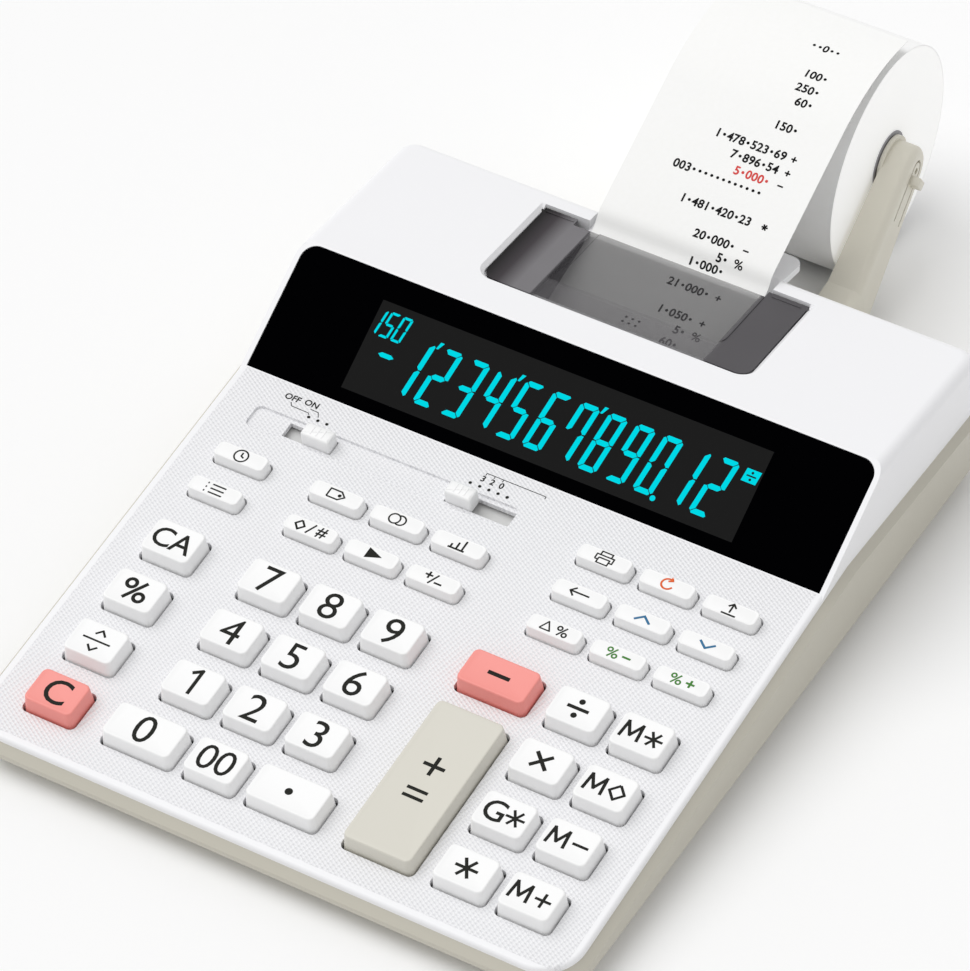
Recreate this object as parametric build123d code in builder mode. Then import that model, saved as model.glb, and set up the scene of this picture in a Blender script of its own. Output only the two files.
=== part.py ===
from build123d import *
import os
from math import acos, asin, atan2, cos, degrees, hypot, radians, sin, tan

# A printing desk calculator, in millimetres. +Z is up and +Y runs from the keyboard to the paper roll.
# The origin is on the table, under the middle of the overall footprint.
# "Distance behind the front" is measured along Y from the front edge of the bottom case.

os.makedirs("parts", exist_ok=True)

# ---------------------------------------------------------------- the case
case_width = 195.0
case_depth = 243.2
front_corner = 14.5         # plan radius of the two front corners of the bottom case
rear_corner = 8.0
rim_bevel = 2.2             # bevel round the rim of the bottom case; the top case stands inside it
belly_drop = 4.5            # height of the sloping belly under the bottom case
belly_inset = 7.0           # how far the belly slopes in
belly_clear = 1.5           # belly above the table
floor_wall = 2.0
ledge_wall = 2.2            # bottom case wall that shows inside the top case's wall
top_wall = 2.4              # top case wall

face_angle = 6.7            # slope of the keyboard face
face_front_height = 12.1
face_length = 145.9         # along the slope, from the front edge to the window
window_angle = 31.0
window_slant = 41.4         # along the slope of the display
top_angle = 5.0             # the top falls this much towards the back
seam_below_face = 1.9       # seam between the cases, below the face
seam_knee = 161.0           # distance behind the front where the seam turns down
seam_rear_height = 24.1
face_edge_round = 1.0
top_edge_round = 3.5

# ---------------------------------------------------------------- display
display_inset = 4.0         # side of the case to the side of the window
display_height = 40.2
display_thickness = 1.2
display_sink = 0.2
display_corner = 5.0
display_lower_gap = 0.3
lcd_width = 128.0
lcd_height = 28.4
lcd_thickness = 2.6
lcd_centre = 18.6           # up the slope from the lower edge of the display slope
lcd_flange = 4.0
lcd_flange_thickness = 1.6
fit_gap = 0.2               # between a piece and the pocket that holds it

# ---------------------------------------------------------------- keys
left_margin = 13.75         # side of the case to the holes of the left-hand keys
right_margin = 12.7
key_web = 2.55              # strip of the face between two keys side by side
digit_step = 31.85          # left-hand column to the first digit column
right_step = 39.0           # last digit column to the first right-hand column
add_step = 4.95             # middle of the minus and plus-equals keys, left of the first right-hand column
row_pitch = 20.05
small_row_pitch = 14.0
key_length = 13.8           # sizes of the keys' holes in the face
small_key_extra = 0.4       # a low key is this much wider than a digit key
small_key_length = 6.9
zero_width = 23.8
add_key_width = 23.2
first_row = 17.5            # up the slope: the row of the zero key
small_first_row = 99.7
key_gap = 0.45              # between a key and its hole
key_rise = 5.0              # key top above the face
small_key_rise = 3.6
key_taper = 0.6             # the top is this much smaller on each side
key_corner = 2.0
key_top_round = 0.7
key_wall = 1.4
key_travel = 2.8
flange_gap = 0.3
flange_thickness = 1.1
flange_overhang = 0.9
plunger_radius = 1.4
dome_radius = 2.6
small_dome_radius = 1.3     # under the low keys, whose flanges are narrow
dome_height = 0.6           # of the rubber domes when pressed flat
press_clear = 0.2
sheet_thickness = 0.8
board_thickness = 1.2
board_side = 9.5            # side of the case to the side of the board
board_start = 8.0           # up the slope
board_end = 141.0
board_post_radius = 2.5
board_post_inset = 10.0     # side of the board to its two rear posts
post_step = 15.55           # last digit column to the posts beside it
left_post_rows = (45.0, 95.0)
right_post_rows = (45.0, 110.0)
rear_post_row = 139.0       # just inside the board's rear edge

# ---------------------------------------------------------------- slide switches
channel_margin = 14.8       # side of the case to the channel
channel_low = 126.6
channel_high = 134.9
channel_depth = 0.8
channel_corner = 2.0
mode_knob_width = 9.4
point_knob_width = 8.6
knob_length = 4.9
knob_gap = 0.15
slot_end_gap = 0.3
knob_flange = 1.2
knob_flange_thickness = 1.0
switch_clear = 0.1
knob_rise = 3.8
knob_row = 130.9
mode_stop_pitch = 3.1       # between the three places of the left switch
mode_stops = 3
point_stop_pitch = 3.05     # between the five places of the right switch
point_stops = 5
mode_knob_step = 22.9       # left end of the channel to the left knob at its last place
point_knob_step = 70.2      # and to the right knob at its first place

# ---------------------------------------------------------------- printer
cover_width = 87.2
cover_front = 196.4         # distances behind the front
cover_rear = 233.9
tear_edge = 231.0
tab_left = -32.9            # inner sides of the two tabs beside the tear edge
tab_right = 30.6
cover_thickness = 1.2
cover_sink = 1.0
seat_bevel = 1.3            # bevel on the case's edge round the cover
cover_corner = 4.0
cover_ledge = 1.6           # ledge that carries the cover's front edge
pin_radius = 0.6
pin_inset = 1.5             # hinge pins in front of the cover's rear edge
pin_length = 1.6
well_depth = 5.0
well_wall = 1.6
panel_left = -24.0          # raised field on the cover
panel_front = 204.8
panel_rise = 0.3
shaft_gap = 0.08            # running clearance of every shaft
ramp_front = 229.4          # the recess behind the cover starts here
ramp_front_height = 41.7
ramp_half = 30.4
ramp_cheek = 1.6
shelf_half = 30.2
shelf_length = 13.2         # shelf behind the case that the tape leaves over
shelf_thickness = 2.4
shelf_drop = 2.6
shelf_top_drop = 1.2        # shelf root below the case top
inlet_floor = 17.5          # paper inlet in the rear wall, from here up to the seam
inlet_half = 30.0

paper_x = 1.2               # middle of the paper path
paper_width = 57.5
paper_thickness = 0.2
paper_gap = 0.3
roll_radius = 36.1
roll_core = 7.5
roll_centre = 308.9         # distance behind the front
roll_height = 37.9
platen_centre = 197.0
platen_height = 27.0
platen_radius = 6.6
platen_shaft = 2.0
platen_side_gap = 1.0
inlet_turn = 240.0          # where the paper turns down to the roll
turn_radius = 20.0
exit_distance = 231.6       # where the paper passes the tear edge
exit_height = 43.6
exit_bend = 6.0             # radius of the upward bend behind the tear edge
exit_angle = 62.0
lean_radius = 7.0
lean_angle = 28.0
drape_lift = 3.95           # top of the tape above the top of the roll
drape_radius = 62.0
drape_fall = 11.0           # the free end, just past the top of the roll, slopes down by this many degrees
ink_centre = 187.5
ink_height = 38.5
ink_radius = 4.2
ink_length = 16.0
ink_shaft = 1.2
frame_plate = 2.0
frame_inner = 31.0          # inner face of a side plate from the middle of the paper
frame_front = 183.6
frame_rear = 228.5
frame_top = 41.5
frame_screw_pitch = 26.0
head_front = 184.6
head_rear = 188.8
head_low = 16.0
head_high = 31.0
head_width = 52.0

# ---------------------------------------------------------------- roll arms
pivot_distance = 253.0
pivot_height = 11.9
pivot_shaft = 3.0
arm_root = 7.2
elbow_distance = 272.9
elbow_height = 12.2
elbow_radius = 9.4
arm_tip = 7.2
arm_side_gap = 1.4          # between the roll and an arm
arm_width = 10.6            # at the elbow
arm_narrowing = 2.9         # the outer side leans in this much at the tip
hub_length = 5.0
hub_gap = 0.3
ear_width = 4.0
ear_radius = 5.6
ear_gap = 0.5
tongue_slot = 0.7
tongue_half = 2.6
tongue_length = 17.0
tongue_depth = 2.0
tab_size = 5.0
arm_round = 2.4             # rounding along the outer edges of an arm
tongue_hole = 1.0
hub_flange = 1.3            # the hub's disc beside the roll is this much wider than the arm's tip
hub_flange_thickness = 0.8

# ---------------------------------------------------------------- battery door, feet and screw posts
door_front = 167.0
door_rear = 220.0
bay_gap = 4.0               # battery bay to the printer's frame
door_flange = 2.0
door_flange_thickness = 1.2
door_gap = 0.2
door_side_height = 7.6      # the door reaches this far up the side
door_rib = 3.0
door_hold = 5.5             # length of the door still held when it is drawn right out
bay_height = 18.0
bay_wall = 1.2
foot_radius = 6.0
foot_sink = 0.5
foot_inset = 21.5           # side of the case to the middle of a foot
foot_front = 20.0
foot_rear = 229.5
post_radius = 4.0
screw_radius = 1.3
screw_head_radius = 3.0
screw_head_depth = 2.5
slope_post_rows = (70.0, 78.0)      # up the slope, between the board's posts
rear_post_rows = (158.0, 231.5)     # distances behind the front
rear_post_inset = 10.5      # side of the case to the middle of a rear post
post_joint_height = 8.0     # where a screw post of the top case meets its boss below
jack_inset = 35.5           # side of the case to the middle of the power inlet
jack_height = 15.0
jack_radius = 2.9
jack_depth = 8.0
jack_wall = 2.0

# ---------------------------------------------------------------- the paper path, side on
path_radius = platen_radius + paper_gap + paper_thickness / 2
to_exit = hypot(exit_distance - platen_centre, exit_height - platen_height)
exit_line = degrees(atan2(exit_height - platen_height, exit_distance - platen_centre))
feed_angle = exit_line + degrees(acos(path_radius / to_exit)) - 90
web_height = platen_height - path_radius
to_roll = hypot(roll_centre - inlet_turn, roll_height - web_height)
roll_line = degrees(atan2(roll_height - web_height, roll_centre - inlet_turn))
web_clear = roll_radius + paper_gap + paper_thickness
web_fall = degrees(asin(web_clear / to_roll)) - roll_line
web_length = (to_roll ** 2 - web_clear ** 2) ** 0.5


def bend_end(start, radius, before, after):
    # End of an arc that starts at a heading and ends at another, headings in degrees above +Y.
    side = 1 if after > before else -1
    centre = (start[0] - side * radius * sin(radians(before)), start[1] + side * radius * cos(radians(before)))
    return (centre[0] + side * radius * sin(radians(after)), centre[1] - side * radius * cos(radians(after)))


bend_top = bend_end((exit_distance, exit_height), exit_bend, feed_angle, exit_angle)
lean_start = bend_end(bend_top, lean_radius, exit_angle, lean_angle)
drape_top = roll_height + roll_radius + drape_lift
lean_run = ((drape_top - paper_thickness / 2 - drape_radius * (1 - cos(radians(lean_angle))) - lean_start[1])
            / sin(radians(lean_angle)))
drape_start = (lean_start[0] + lean_run * cos(radians(lean_angle)),
               lean_start[1] + lean_run * sin(radians(lean_angle)))
total_depth = roll_centre + roll_radius

# ---------------------------------------------------------------- places worked out from the sizes
display_width = case_width - 2 * display_inset
board_width = case_width - 2 * board_side
column_pitch = (case_width - left_margin - right_margin + key_web - digit_step - right_step) / 5
key_width = column_pitch - key_web
small_key_width = key_width + small_key_extra
left_column = -case_width / 2 + left_margin + key_width / 2
digit_xs = [left_column + digit_step + n * column_pitch for n in range(3)]
right_xs = [digit_xs[2] + right_step + n * column_pitch for n in range(3)]
add_column = right_xs[0] - add_step
channel_left = -case_width / 2 + channel_margin
mode_knob_x = channel_left + mode_knob_step
point_knob_x = channel_left + point_knob_step
left_posts_x = left_column + digit_step / 2
right_posts_x = digit_xs[2] + post_step
board_posts = ([(left_posts_x, up) for up in left_post_rows] + [(right_posts_x, up) for up in right_post_rows]
               + [(side * (board_width / 2 - board_post_inset), rear_post_row) for side in (-1, 1)])
slope_posts = list(zip((left_posts_x, right_posts_x), slope_post_rows))
rear_posts = [(side * (case_width / 2 - rear_post_inset), back) for back in rear_post_rows for side in (-1, 1)]
door_inner = paper_x - frame_inner - frame_plate - bay_gap - bay_wall
door_travel = door_inner + case_width / 2 - door_hold
foot_x = case_width / 2 - foot_inset
jack_x = case_width / 2 - jack_inset

y0 = -total_depth / 2       # Y of the front edge
belly_top = belly_clear + belly_drop
floor_top = belly_clear + floor_wall
face_front = y0 + rim_bevel
face_end = (face_front + face_length * cos(radians(face_angle)),
            face_front_height + face_length * sin(radians(face_angle)))
window_end = (face_end[0] + window_slant * cos(radians(window_angle)),
              face_end[1] + window_slant * sin(radians(window_angle)))
top_rear = y0 + case_depth - rim_bevel
top_rear_height = window_end[1] - (top_rear - window_end[0]) * tan(radians(top_angle))

face_plane = Plane((0, face_front, face_front_height), (1, 0, 0),
                   (0, -sin(radians(face_angle)), cos(radians(face_angle))))
face_up = Axis(face_plane.origin, face_plane.z_dir)
window_plane = Plane((0, *face_end), (1, 0, 0), (0, -sin(radians(window_angle)), cos(radians(window_angle))))
top_plane = Plane((0, *window_end), (1, 0, 0), (0, sin(radians(top_angle)), cos(radians(top_angle))))

flange_top = top_wall + flange_gap                  # depths below the face
flange_bottom = flange_top + flange_thickness
sheet_top = flange_bottom + key_travel + press_clear
board_top = sheet_top + sheet_thickness
plunger_tip = sheet_top - dome_height - press_clear - key_travel


def on_top(distance):
    # Distance behind the front, as a distance along the top plane.
    return (y0 + distance - window_end[0]) / cos(radians(top_angle))


def seam_height(y):
    knee = y0 + seam_knee
    knee_height = face_front_height - seam_below_face + (knee - face_front) * tan(radians(face_angle))
    if y <= knee:
        return knee_height - (knee - y) * tan(radians(face_angle))
    return knee_height + (seam_rear_height - knee_height) * (y - knee) / (y0 + case_depth - knee)


def beyond_seam(height):
    # Side-on outline of everything between the seam and a height above or below the case.
    ahead, knee, behind = y0 - case_depth, y0 + seam_knee, y0 + 2 * case_depth
    return [(ahead, height), (ahead, seam_height(ahead)), (knee, seam_height(knee)),
            (behind, seam_height(behind)), (behind, height)]


def upper_form(inset):
    # The top case as a solid block, or the hollow in it, open below.
    base = -case_depth if inset else 0
    with BuildPart() as form:
        with BuildSketch(Plane.YZ):
            with BuildLine():
                Polyline((face_front, base), (face_front, face_front_height), face_end, window_end,
                         (top_rear, top_rear_height), (top_rear, base), close=True)
            make_face()
            if inset:
                offset(amount=-inset, kind=Kind.INTERSECTION)
        extrude(amount=case_width / 2, both=True)
        with BuildSketch() as plan:
            with Locations((0, y0 + case_depth / 2)):
                Rectangle(case_width - 2 * (rim_bevel + inset), case_depth - 2 * (rim_bevel + inset))
            fillet(plan.vertices().group_by(Axis.Y)[0], front_corner - rim_bevel - inset)
            fillet(plan.vertices().group_by(Axis.Y)[-1], rear_corner - rim_bevel - inset)
        extrude(amount=window_end[1] + top_wall, mode=Mode.INTERSECT)
    return form.part


def lower_form():
    # The bottom case as a solid block, with its bevelled rim and sloping belly.
    with BuildPart() as form:
        with BuildSketch(Plane.XY.offset(belly_clear)) as plan:
            with Locations((0, y0 + case_depth / 2)):
                Rectangle(case_width, case_depth)
            fillet(plan.vertices().group_by(Axis.Y)[0], front_corner)
            fillet(plan.vertices().group_by(Axis.Y)[-1], rear_corner)
        extrude(amount=seam_height(y0 + seam_knee) + top_wall)
        chamfer(form.faces().sort_by(Axis.Z)[0].edges(), belly_drop, belly_inset)
        with BuildSketch(Plane.YZ):
            with BuildLine():
                Polyline(*beyond_seam(window_end[1] + case_depth), close=True)
            make_face()
        extrude(amount=case_width, both=True, mode=Mode.SUBTRACT)
        rim = form.faces().filter_by(lambda f: f.normal_at().Z > 0.9).edges()
        chamfer(rim.filter_by(lambda e: abs(e.center().Y - y0 - seam_knee) > 0.5), rim_bevel)
    return form.part



outer_lower = lower_form()
outer_upper = upper_form(0)
inner_upper = upper_form(top_wall)


def lower_hollow(inset, drop):
    # The hollow in the bottom case, up to a distance below the seam.
    with BuildPart() as form:
        with BuildSketch(Plane.XY.offset(floor_top)) as plan:
            with Locations((0, y0 + case_depth / 2)):
                Rectangle(case_width - 2 * inset, case_depth - 2 * inset)
            fillet(plan.vertices().group_by(Axis.Y)[0], front_corner - inset)
            fillet(plan.vertices().group_by(Axis.Y)[-1], belly_inset + 0.5)
        extrude(amount=window_end[1] + drop)
        chamfer(form.faces().sort_by(Axis.Z)[0].edges(), belly_drop, belly_inset)
        if drop:
            with BuildSketch(Plane.YZ):
                with BuildLine():
                    Polyline(*[(y, z - drop) for y, z in beyond_seam(window_end[1] + case_depth)], close=True)
                make_face()
            extrude(amount=case_width, both=True, mode=Mode.SUBTRACT)
    return form.part


def seam_y(distance_up_face):
    # Y of a point on the face.
    return face_front + distance_up_face * cos(radians(face_angle))


case_posts = [(x, seam_y(up)) for x, up in slope_posts] + [(x, y0 + back) for x, back in rear_posts]
feet = [(x, y0 + back) for x in (-foot_x, foot_x) for back in (foot_front, foot_rear)]
rear_wall = y0 + case_depth
pivot_y = y0 + pivot_distance
roll_y = y0 + roll_centre
elbow_y = y0 + elbow_distance
arm_inner = paper_width / 2 + arm_side_gap
arm_outer = arm_inner + arm_width
ear_inner = arm_outer + ear_gap

# ---------------------------------------------------------------- bottom case
door_mid = y0 + (door_front + door_rear) / 2
door_long = door_rear - door_front
door_edge = -case_width / 2
bay_half = door_long / 2 + door_flange + 2 * door_gap

with BuildPart() as bottom_case:
    add(outer_lower)
    add(lower_hollow(rim_bevel + ledge_wall, 0), mode=Mode.SUBTRACT)
    add(lower_hollow(floor_wall + fit_gap, rim_bevel), mode=Mode.SUBTRACT)
    # battery bay with the ribs that guide the door
    with BuildSketch(Plane.XY.offset(floor_top - 0.5)):
        with Locations(((door_edge + 2 + door_inner + bay_wall) / 2, door_mid)):
            Rectangle(door_inner + bay_wall - door_edge - 2, 2 * (bay_half + bay_wall))
    extrude(amount=bay_height + bay_wall - floor_top + 0.5)
    with BuildSketch(Plane.XY.offset(floor_top + door_rib)):
        with Locations(((door_edge + floor_wall + fit_gap + door_inner) / 2, door_mid)):
            Rectangle(door_inner - door_edge - floor_wall - fit_gap, 2 * bay_half)
    extrude(amount=bay_height - floor_top - door_rib, mode=Mode.SUBTRACT)
    with BuildSketch(Plane.XY):
        with Locations(((door_edge - 5 + door_inner) / 2, door_mid)):
            Rectangle(door_inner - door_edge + 5, door_long)
    extrude(amount=floor_top + door_rib, mode=Mode.SUBTRACT)
    with BuildSketch(Plane.XY):
        with Locations((door_edge, door_mid)):
            Rectangle(2 * (floor_wall + fit_gap), door_long)
    extrude(amount=door_side_height + door_gap, mode=Mode.SUBTRACT)
    with BuildSketch(Plane.XY.offset(floor_top)):
        with Locations(((door_edge - 5 + door_inner) / 2, door_mid)):
            Rectangle(door_inner - door_edge + 5, door_long + 2 * (door_flange + door_gap))
    extrude(amount=door_flange_thickness + door_gap, mode=Mode.SUBTRACT)
    # bosses under the top case's screw posts
    with BuildSketch(Plane.XY.offset(floor_top - 0.5)):
        with Locations(*case_posts):
            Circle(post_radius)
    extrude(amount=post_joint_height - floor_top + 0.5)
    with BuildSketch(Plane.XY):
        with Locations(*case_posts):
            Circle(screw_radius + fit_gap)
    extrude(amount=post_joint_height, mode=Mode.SUBTRACT)
    with BuildSketch(Plane.XY):
        with Locations(*case_posts):
            Circle(screw_head_radius)
    extrude(amount=belly_clear + screw_head_depth, mode=Mode.SUBTRACT)
    # seats of the rubber feet
    with BuildSketch(Plane.XY):
        with Locations(*feet):
            Circle(foot_radius + fit_gap / 2)
    extrude(amount=belly_clear + foot_sink, mode=Mode.SUBTRACT)
    # ears for the shaft of the roll arms
    with BuildSketch(Plane.YZ.offset(paper_x)):
        with Locations((pivot_y, pivot_height)):
            Circle(ear_radius)
        with Locations((rear_wall - 0.5, pivot_height)):
            Rectangle(1, 2 * ear_radius)
        make_hull()
    extrude(amount=ear_inner + ear_width, both=True)
    with BuildSketch(Plane.YZ.offset(paper_x)):
        with Locations((rear_wall + case_depth / 2, pivot_height)):
            Rectangle(case_depth, 4 * ear_radius)
    extrude(amount=ear_inner, both=True, mode=Mode.SUBTRACT)
    with BuildSketch(Plane.YZ.offset(paper_x)):
        with Locations((pivot_y, pivot_height)):
            Circle(pivot_shaft + shaft_gap)
    extrude(amount=ear_inner + ear_width, both=True, mode=Mode.SUBTRACT)
    # paper inlet, open to the seam
    with BuildSketch(Plane.XZ.offset(-rear_wall)):
        with Locations((paper_x, inlet_floor)):
            Rectangle(2 * inlet_half, window_end[1], align=(Align.CENTER, Align.MIN))
    extrude(amount=2 * (rim_bevel + ledge_wall), both=True, mode=Mode.SUBTRACT)
    # power inlet: a blind round socket with a pin
    with BuildSketch(Plane.XZ.offset(-rear_wall + rim_bevel)):
        with Locations((jack_x, jack_height)):
            Circle(jack_radius + jack_wall)
    extrude(amount=jack_depth)
    with BuildSketch(Plane.XZ.offset(-rear_wall)):
        with Locations((jack_x, jack_height)):
            Circle(jack_radius)
            Circle(jack_radius / 3, mode=Mode.SUBTRACT)
    extrude(amount=jack_depth, mode=Mode.SUBTRACT)

bottom_case.part.label = "bottom_case"
export_step(bottom_case.part, "parts/bottom_case.step")

# ---------------------------------------------------------------- battery door
with BuildPart() as battery_door:
    with BuildSketch(Plane.XY.offset(belly_clear)):
        with Locations(((door_edge + door_inner) / 2 - door_gap / 2, door_mid)):
            Rectangle(door_inner - door_edge - door_gap, door_long - 2 * door_gap)
    extrude(amount=floor_wall)
    with BuildSketch(Plane.XY.offset(belly_clear)):
        with Locations((door_edge + belly_inset, door_mid)):
            Rectangle(2 * belly_inset, door_long - 2 * door_gap)
    extrude(amount=door_side_height - belly_clear)
    add(outer_lower, mode=Mode.INTERSECT)
    add(lower_hollow(floor_wall, 0), mode=Mode.SUBTRACT)
    with BuildSketch(Plane.XY.offset(floor_top + door_gap / 2)):
        with Locations((door_inner - door_gap, door_mid)):
            Rectangle(door_travel - 6, door_long + 2 * (door_flange - door_gap), align=(Align.MAX, Align.CENTER))
        with Locations((door_inner, door_mid)):
            Rectangle(2 * door_travel, door_long - 4 * door_flange, mode=Mode.SUBTRACT)
    extrude(amount=door_flange_thickness - door_gap)
    with BuildSketch(Plane.XY.offset(floor_top - 0.5)):
        with Locations((door_inner - door_gap, door_mid)):
            Rectangle(door_travel - 6, door_long - 2 * door_gap, align=(Align.MAX, Align.CENTER))
            Rectangle(2 * door_travel, door_long - 4 * door_flange, mode=Mode.SUBTRACT)
    extrude(amount=door_gap / 2 + 0.6)

battery_door.part.label = "battery_door"
export_step(battery_door.part, "parts/battery_door.step")

with BuildPart() as rubber_feet:
    with BuildSketch():
        with Locations(*feet):
            Circle(foot_radius)
    extrude(amount=belly_clear + foot_sink)
    chamfer(rubber_feet.faces().filter_by(lambda f: f.normal_at().Z < -0.9).edges(), foot_sink)

rubber_feet.part.label = "rubber_feet"
export_step(rubber_feet.part, "parts/rubber_feet.step")

# ---------------------------------------------------------------- keys: name, x, distance up the face, width, length
big_rows = [first_row + n * row_pitch for n in range(4)]
small_rows = [small_first_row + n * small_row_pitch for n in range(3)]
zero_x = digit_xs[0] + key_width / 2 - zero_width / 2
point_x = digit_xs[2] - key_width / 2 + zero_width / 2
add_length = 2 * row_pitch + key_length

big_keys = []
for row, names in zip(big_rows[1:], (("1", "2", "3"), ("4", "5", "6"), ("7", "8", "9"))):
    for x, name in zip(digit_xs, names):
        big_keys.append(("key_" + name, x, row, key_width, key_length))
big_keys.append(("key_0", zero_x, first_row, zero_width, key_length))
big_keys.append(("key_00", digit_xs[1], first_row, key_width, key_length))
big_keys.append(("key_point", point_x, first_row, zero_width, key_length))
for row, name in zip(big_rows, ("clear", "markup", "percent", "clear_all")):
    big_keys.append(("key_" + name, left_column, row, key_width, key_length))
for row, name in zip(big_rows, ("total", "grand_total", "multiply", "divide")):
    big_keys.append(("key_" + name, right_xs[1], row, key_width, key_length))
for row, name in zip(big_rows, ("memory_plus", "memory_minus", "memory_subtotal", "memory_total")):
    big_keys.append(("key_" + name, right_xs[2], row, key_width, key_length))
big_keys.append(("key_plus_equals", add_column, big_rows[1], add_key_width, add_length))
big_keys.append(("key_minus", add_column, big_rows[3], add_key_width, key_length))

small_keys = []
for row, name in zip(small_rows, ("item_count", "time")):
    small_keys.append(("key_" + name, left_column, row, small_key_width, small_key_length))
for row, names in zip(small_rows, (("subtotal", "shift_right", "sign"), ("cost", "sell", "margin"))):
    for x, name in zip(digit_xs, names):
        small_keys.append(("key_" + name, x, row, small_key_width, small_key_length))
for row, names in zip(small_rows, (("delta_percent", "tax_minus", "tax_plus"),
                                   ("correct", "step_up", "step_down"), ("print", "reprint", "feed"))):
    for x, name in zip(right_xs, names):
        small_keys.append(("key_" + name, x, row, small_key_width, small_key_length))
all_keys = big_keys + small_keys


def key_solid(x, up, width, length, rise):
    # A hollow keycap with a flange under the face and a plunger that reaches towards the rubber dome.
    body_width, body_length = width - 2 * key_gap, length - 2 * key_gap
    at = Location((x, up))
    with BuildPart() as cap:
        with BuildSketch(face_plane.offset(-flange_bottom)):
            with Locations(at):
                RectangleRounded(body_width, body_length, key_corner)
        extrude(amount=flange_bottom)
        with BuildSketch(face_plane):
            with Locations(at):
                RectangleRounded(body_width, body_length, key_corner)
        with BuildSketch(face_plane.offset(rise)):
            with Locations(at):
                RectangleRounded(body_width - 2 * key_taper, body_length - 2 * key_taper, key_corner - key_taper / 2)
        loft()
        fillet(cap.faces().sort_by(face_up)[-1].edges(), key_top_round)
        with BuildSketch(face_plane.offset(-flange_bottom)):
            with Locations(at):
                Rectangle(width + 2 * flange_overhang, length + 2 * flange_overhang)
        extrude(amount=flange_thickness)
        with BuildSketch(face_plane.offset(-flange_bottom)):
            with Locations(at):
                Rectangle(body_width - 2 * key_wall, body_length - 2 * key_wall)
        extrude(amount=flange_bottom + rise - key_wall - key_taper, mode=Mode.SUBTRACT)
        with BuildSketch(face_plane.offset(-plunger_tip)):
            with Locations(at):
                Circle(plunger_radius)
        extrude(amount=plunger_tip + rise - key_wall)
    return cap.part


for keys, rise in ((big_keys, key_rise), (small_keys, small_key_rise)):
    for name, x, up, width, length in keys:
        solid = key_solid(x, up, width, length, rise)
        solid.label = name
        export_step(solid, "parts/" + name + ".step")

# ---------------------------------------------------------------- slide switches: name, x at rest, width, reach left, right
mode_reach = (mode_stops - 1) * mode_stop_pitch
point_reach = (point_stops - 1) * point_stop_pitch
switches = [("switch_knob_left", mode_knob_x, mode_knob_width, mode_reach, 0),
            ("switch_knob_right", point_knob_x, point_knob_width, 0, point_reach)]
channel_right = point_knob_x + point_reach + point_knob_width / 2 + slot_end_gap
knob_flange_top = top_wall + switch_clear
knob_flange_bottom = knob_flange_top + knob_flange_thickness

for name, x, width, reach_left, reach_right in switches:
    with BuildPart() as knob:
        with BuildSketch(face_plane.offset(-knob_flange_top)):
            with Locations((x, knob_row)):
                Rectangle(width, knob_length)
        extrude(amount=knob_flange_top + knob_rise)
        top_edges = knob.faces().sort_by(face_up)[-1].edges()
        fillet(top_edges, key_top_round)
        with BuildSketch(face_plane.offset(knob_rise)):
            with Locations((x, knob_row)):
                with GridLocations(width / 4, 1, 3, 1):
                    Rectangle(width / 12, knob_length - 4 * key_top_round)
        extrude(amount=-key_top_round / 2, mode=Mode.SUBTRACT)
        with BuildSketch(face_plane.offset(-knob_flange_bottom)):
            with Locations((x, knob_row)):
                Rectangle(width + 2 * knob_flange, knob_length + 2 * knob_flange)
        extrude(amount=knob_flange_thickness)
    knob.part.label = name
    export_step(knob.part, "parts/" + name + ".step")

# ---------------------------------------------------------------- top case
ramp_top = [(y0 + ramp_front, ramp_front_height), (rear_wall - rim_bevel, top_rear_height - shelf_top_drop)]
cover_sides = cover_width / 2
hinge_y = y0 + cover_rear - pin_inset
hinge_depth = cover_sink + cover_thickness / 2
hinge_z = (window_end[1] - (hinge_y - window_end[0]) * tan(radians(top_angle))
           - hinge_depth / cos(radians(top_angle)))

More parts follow.
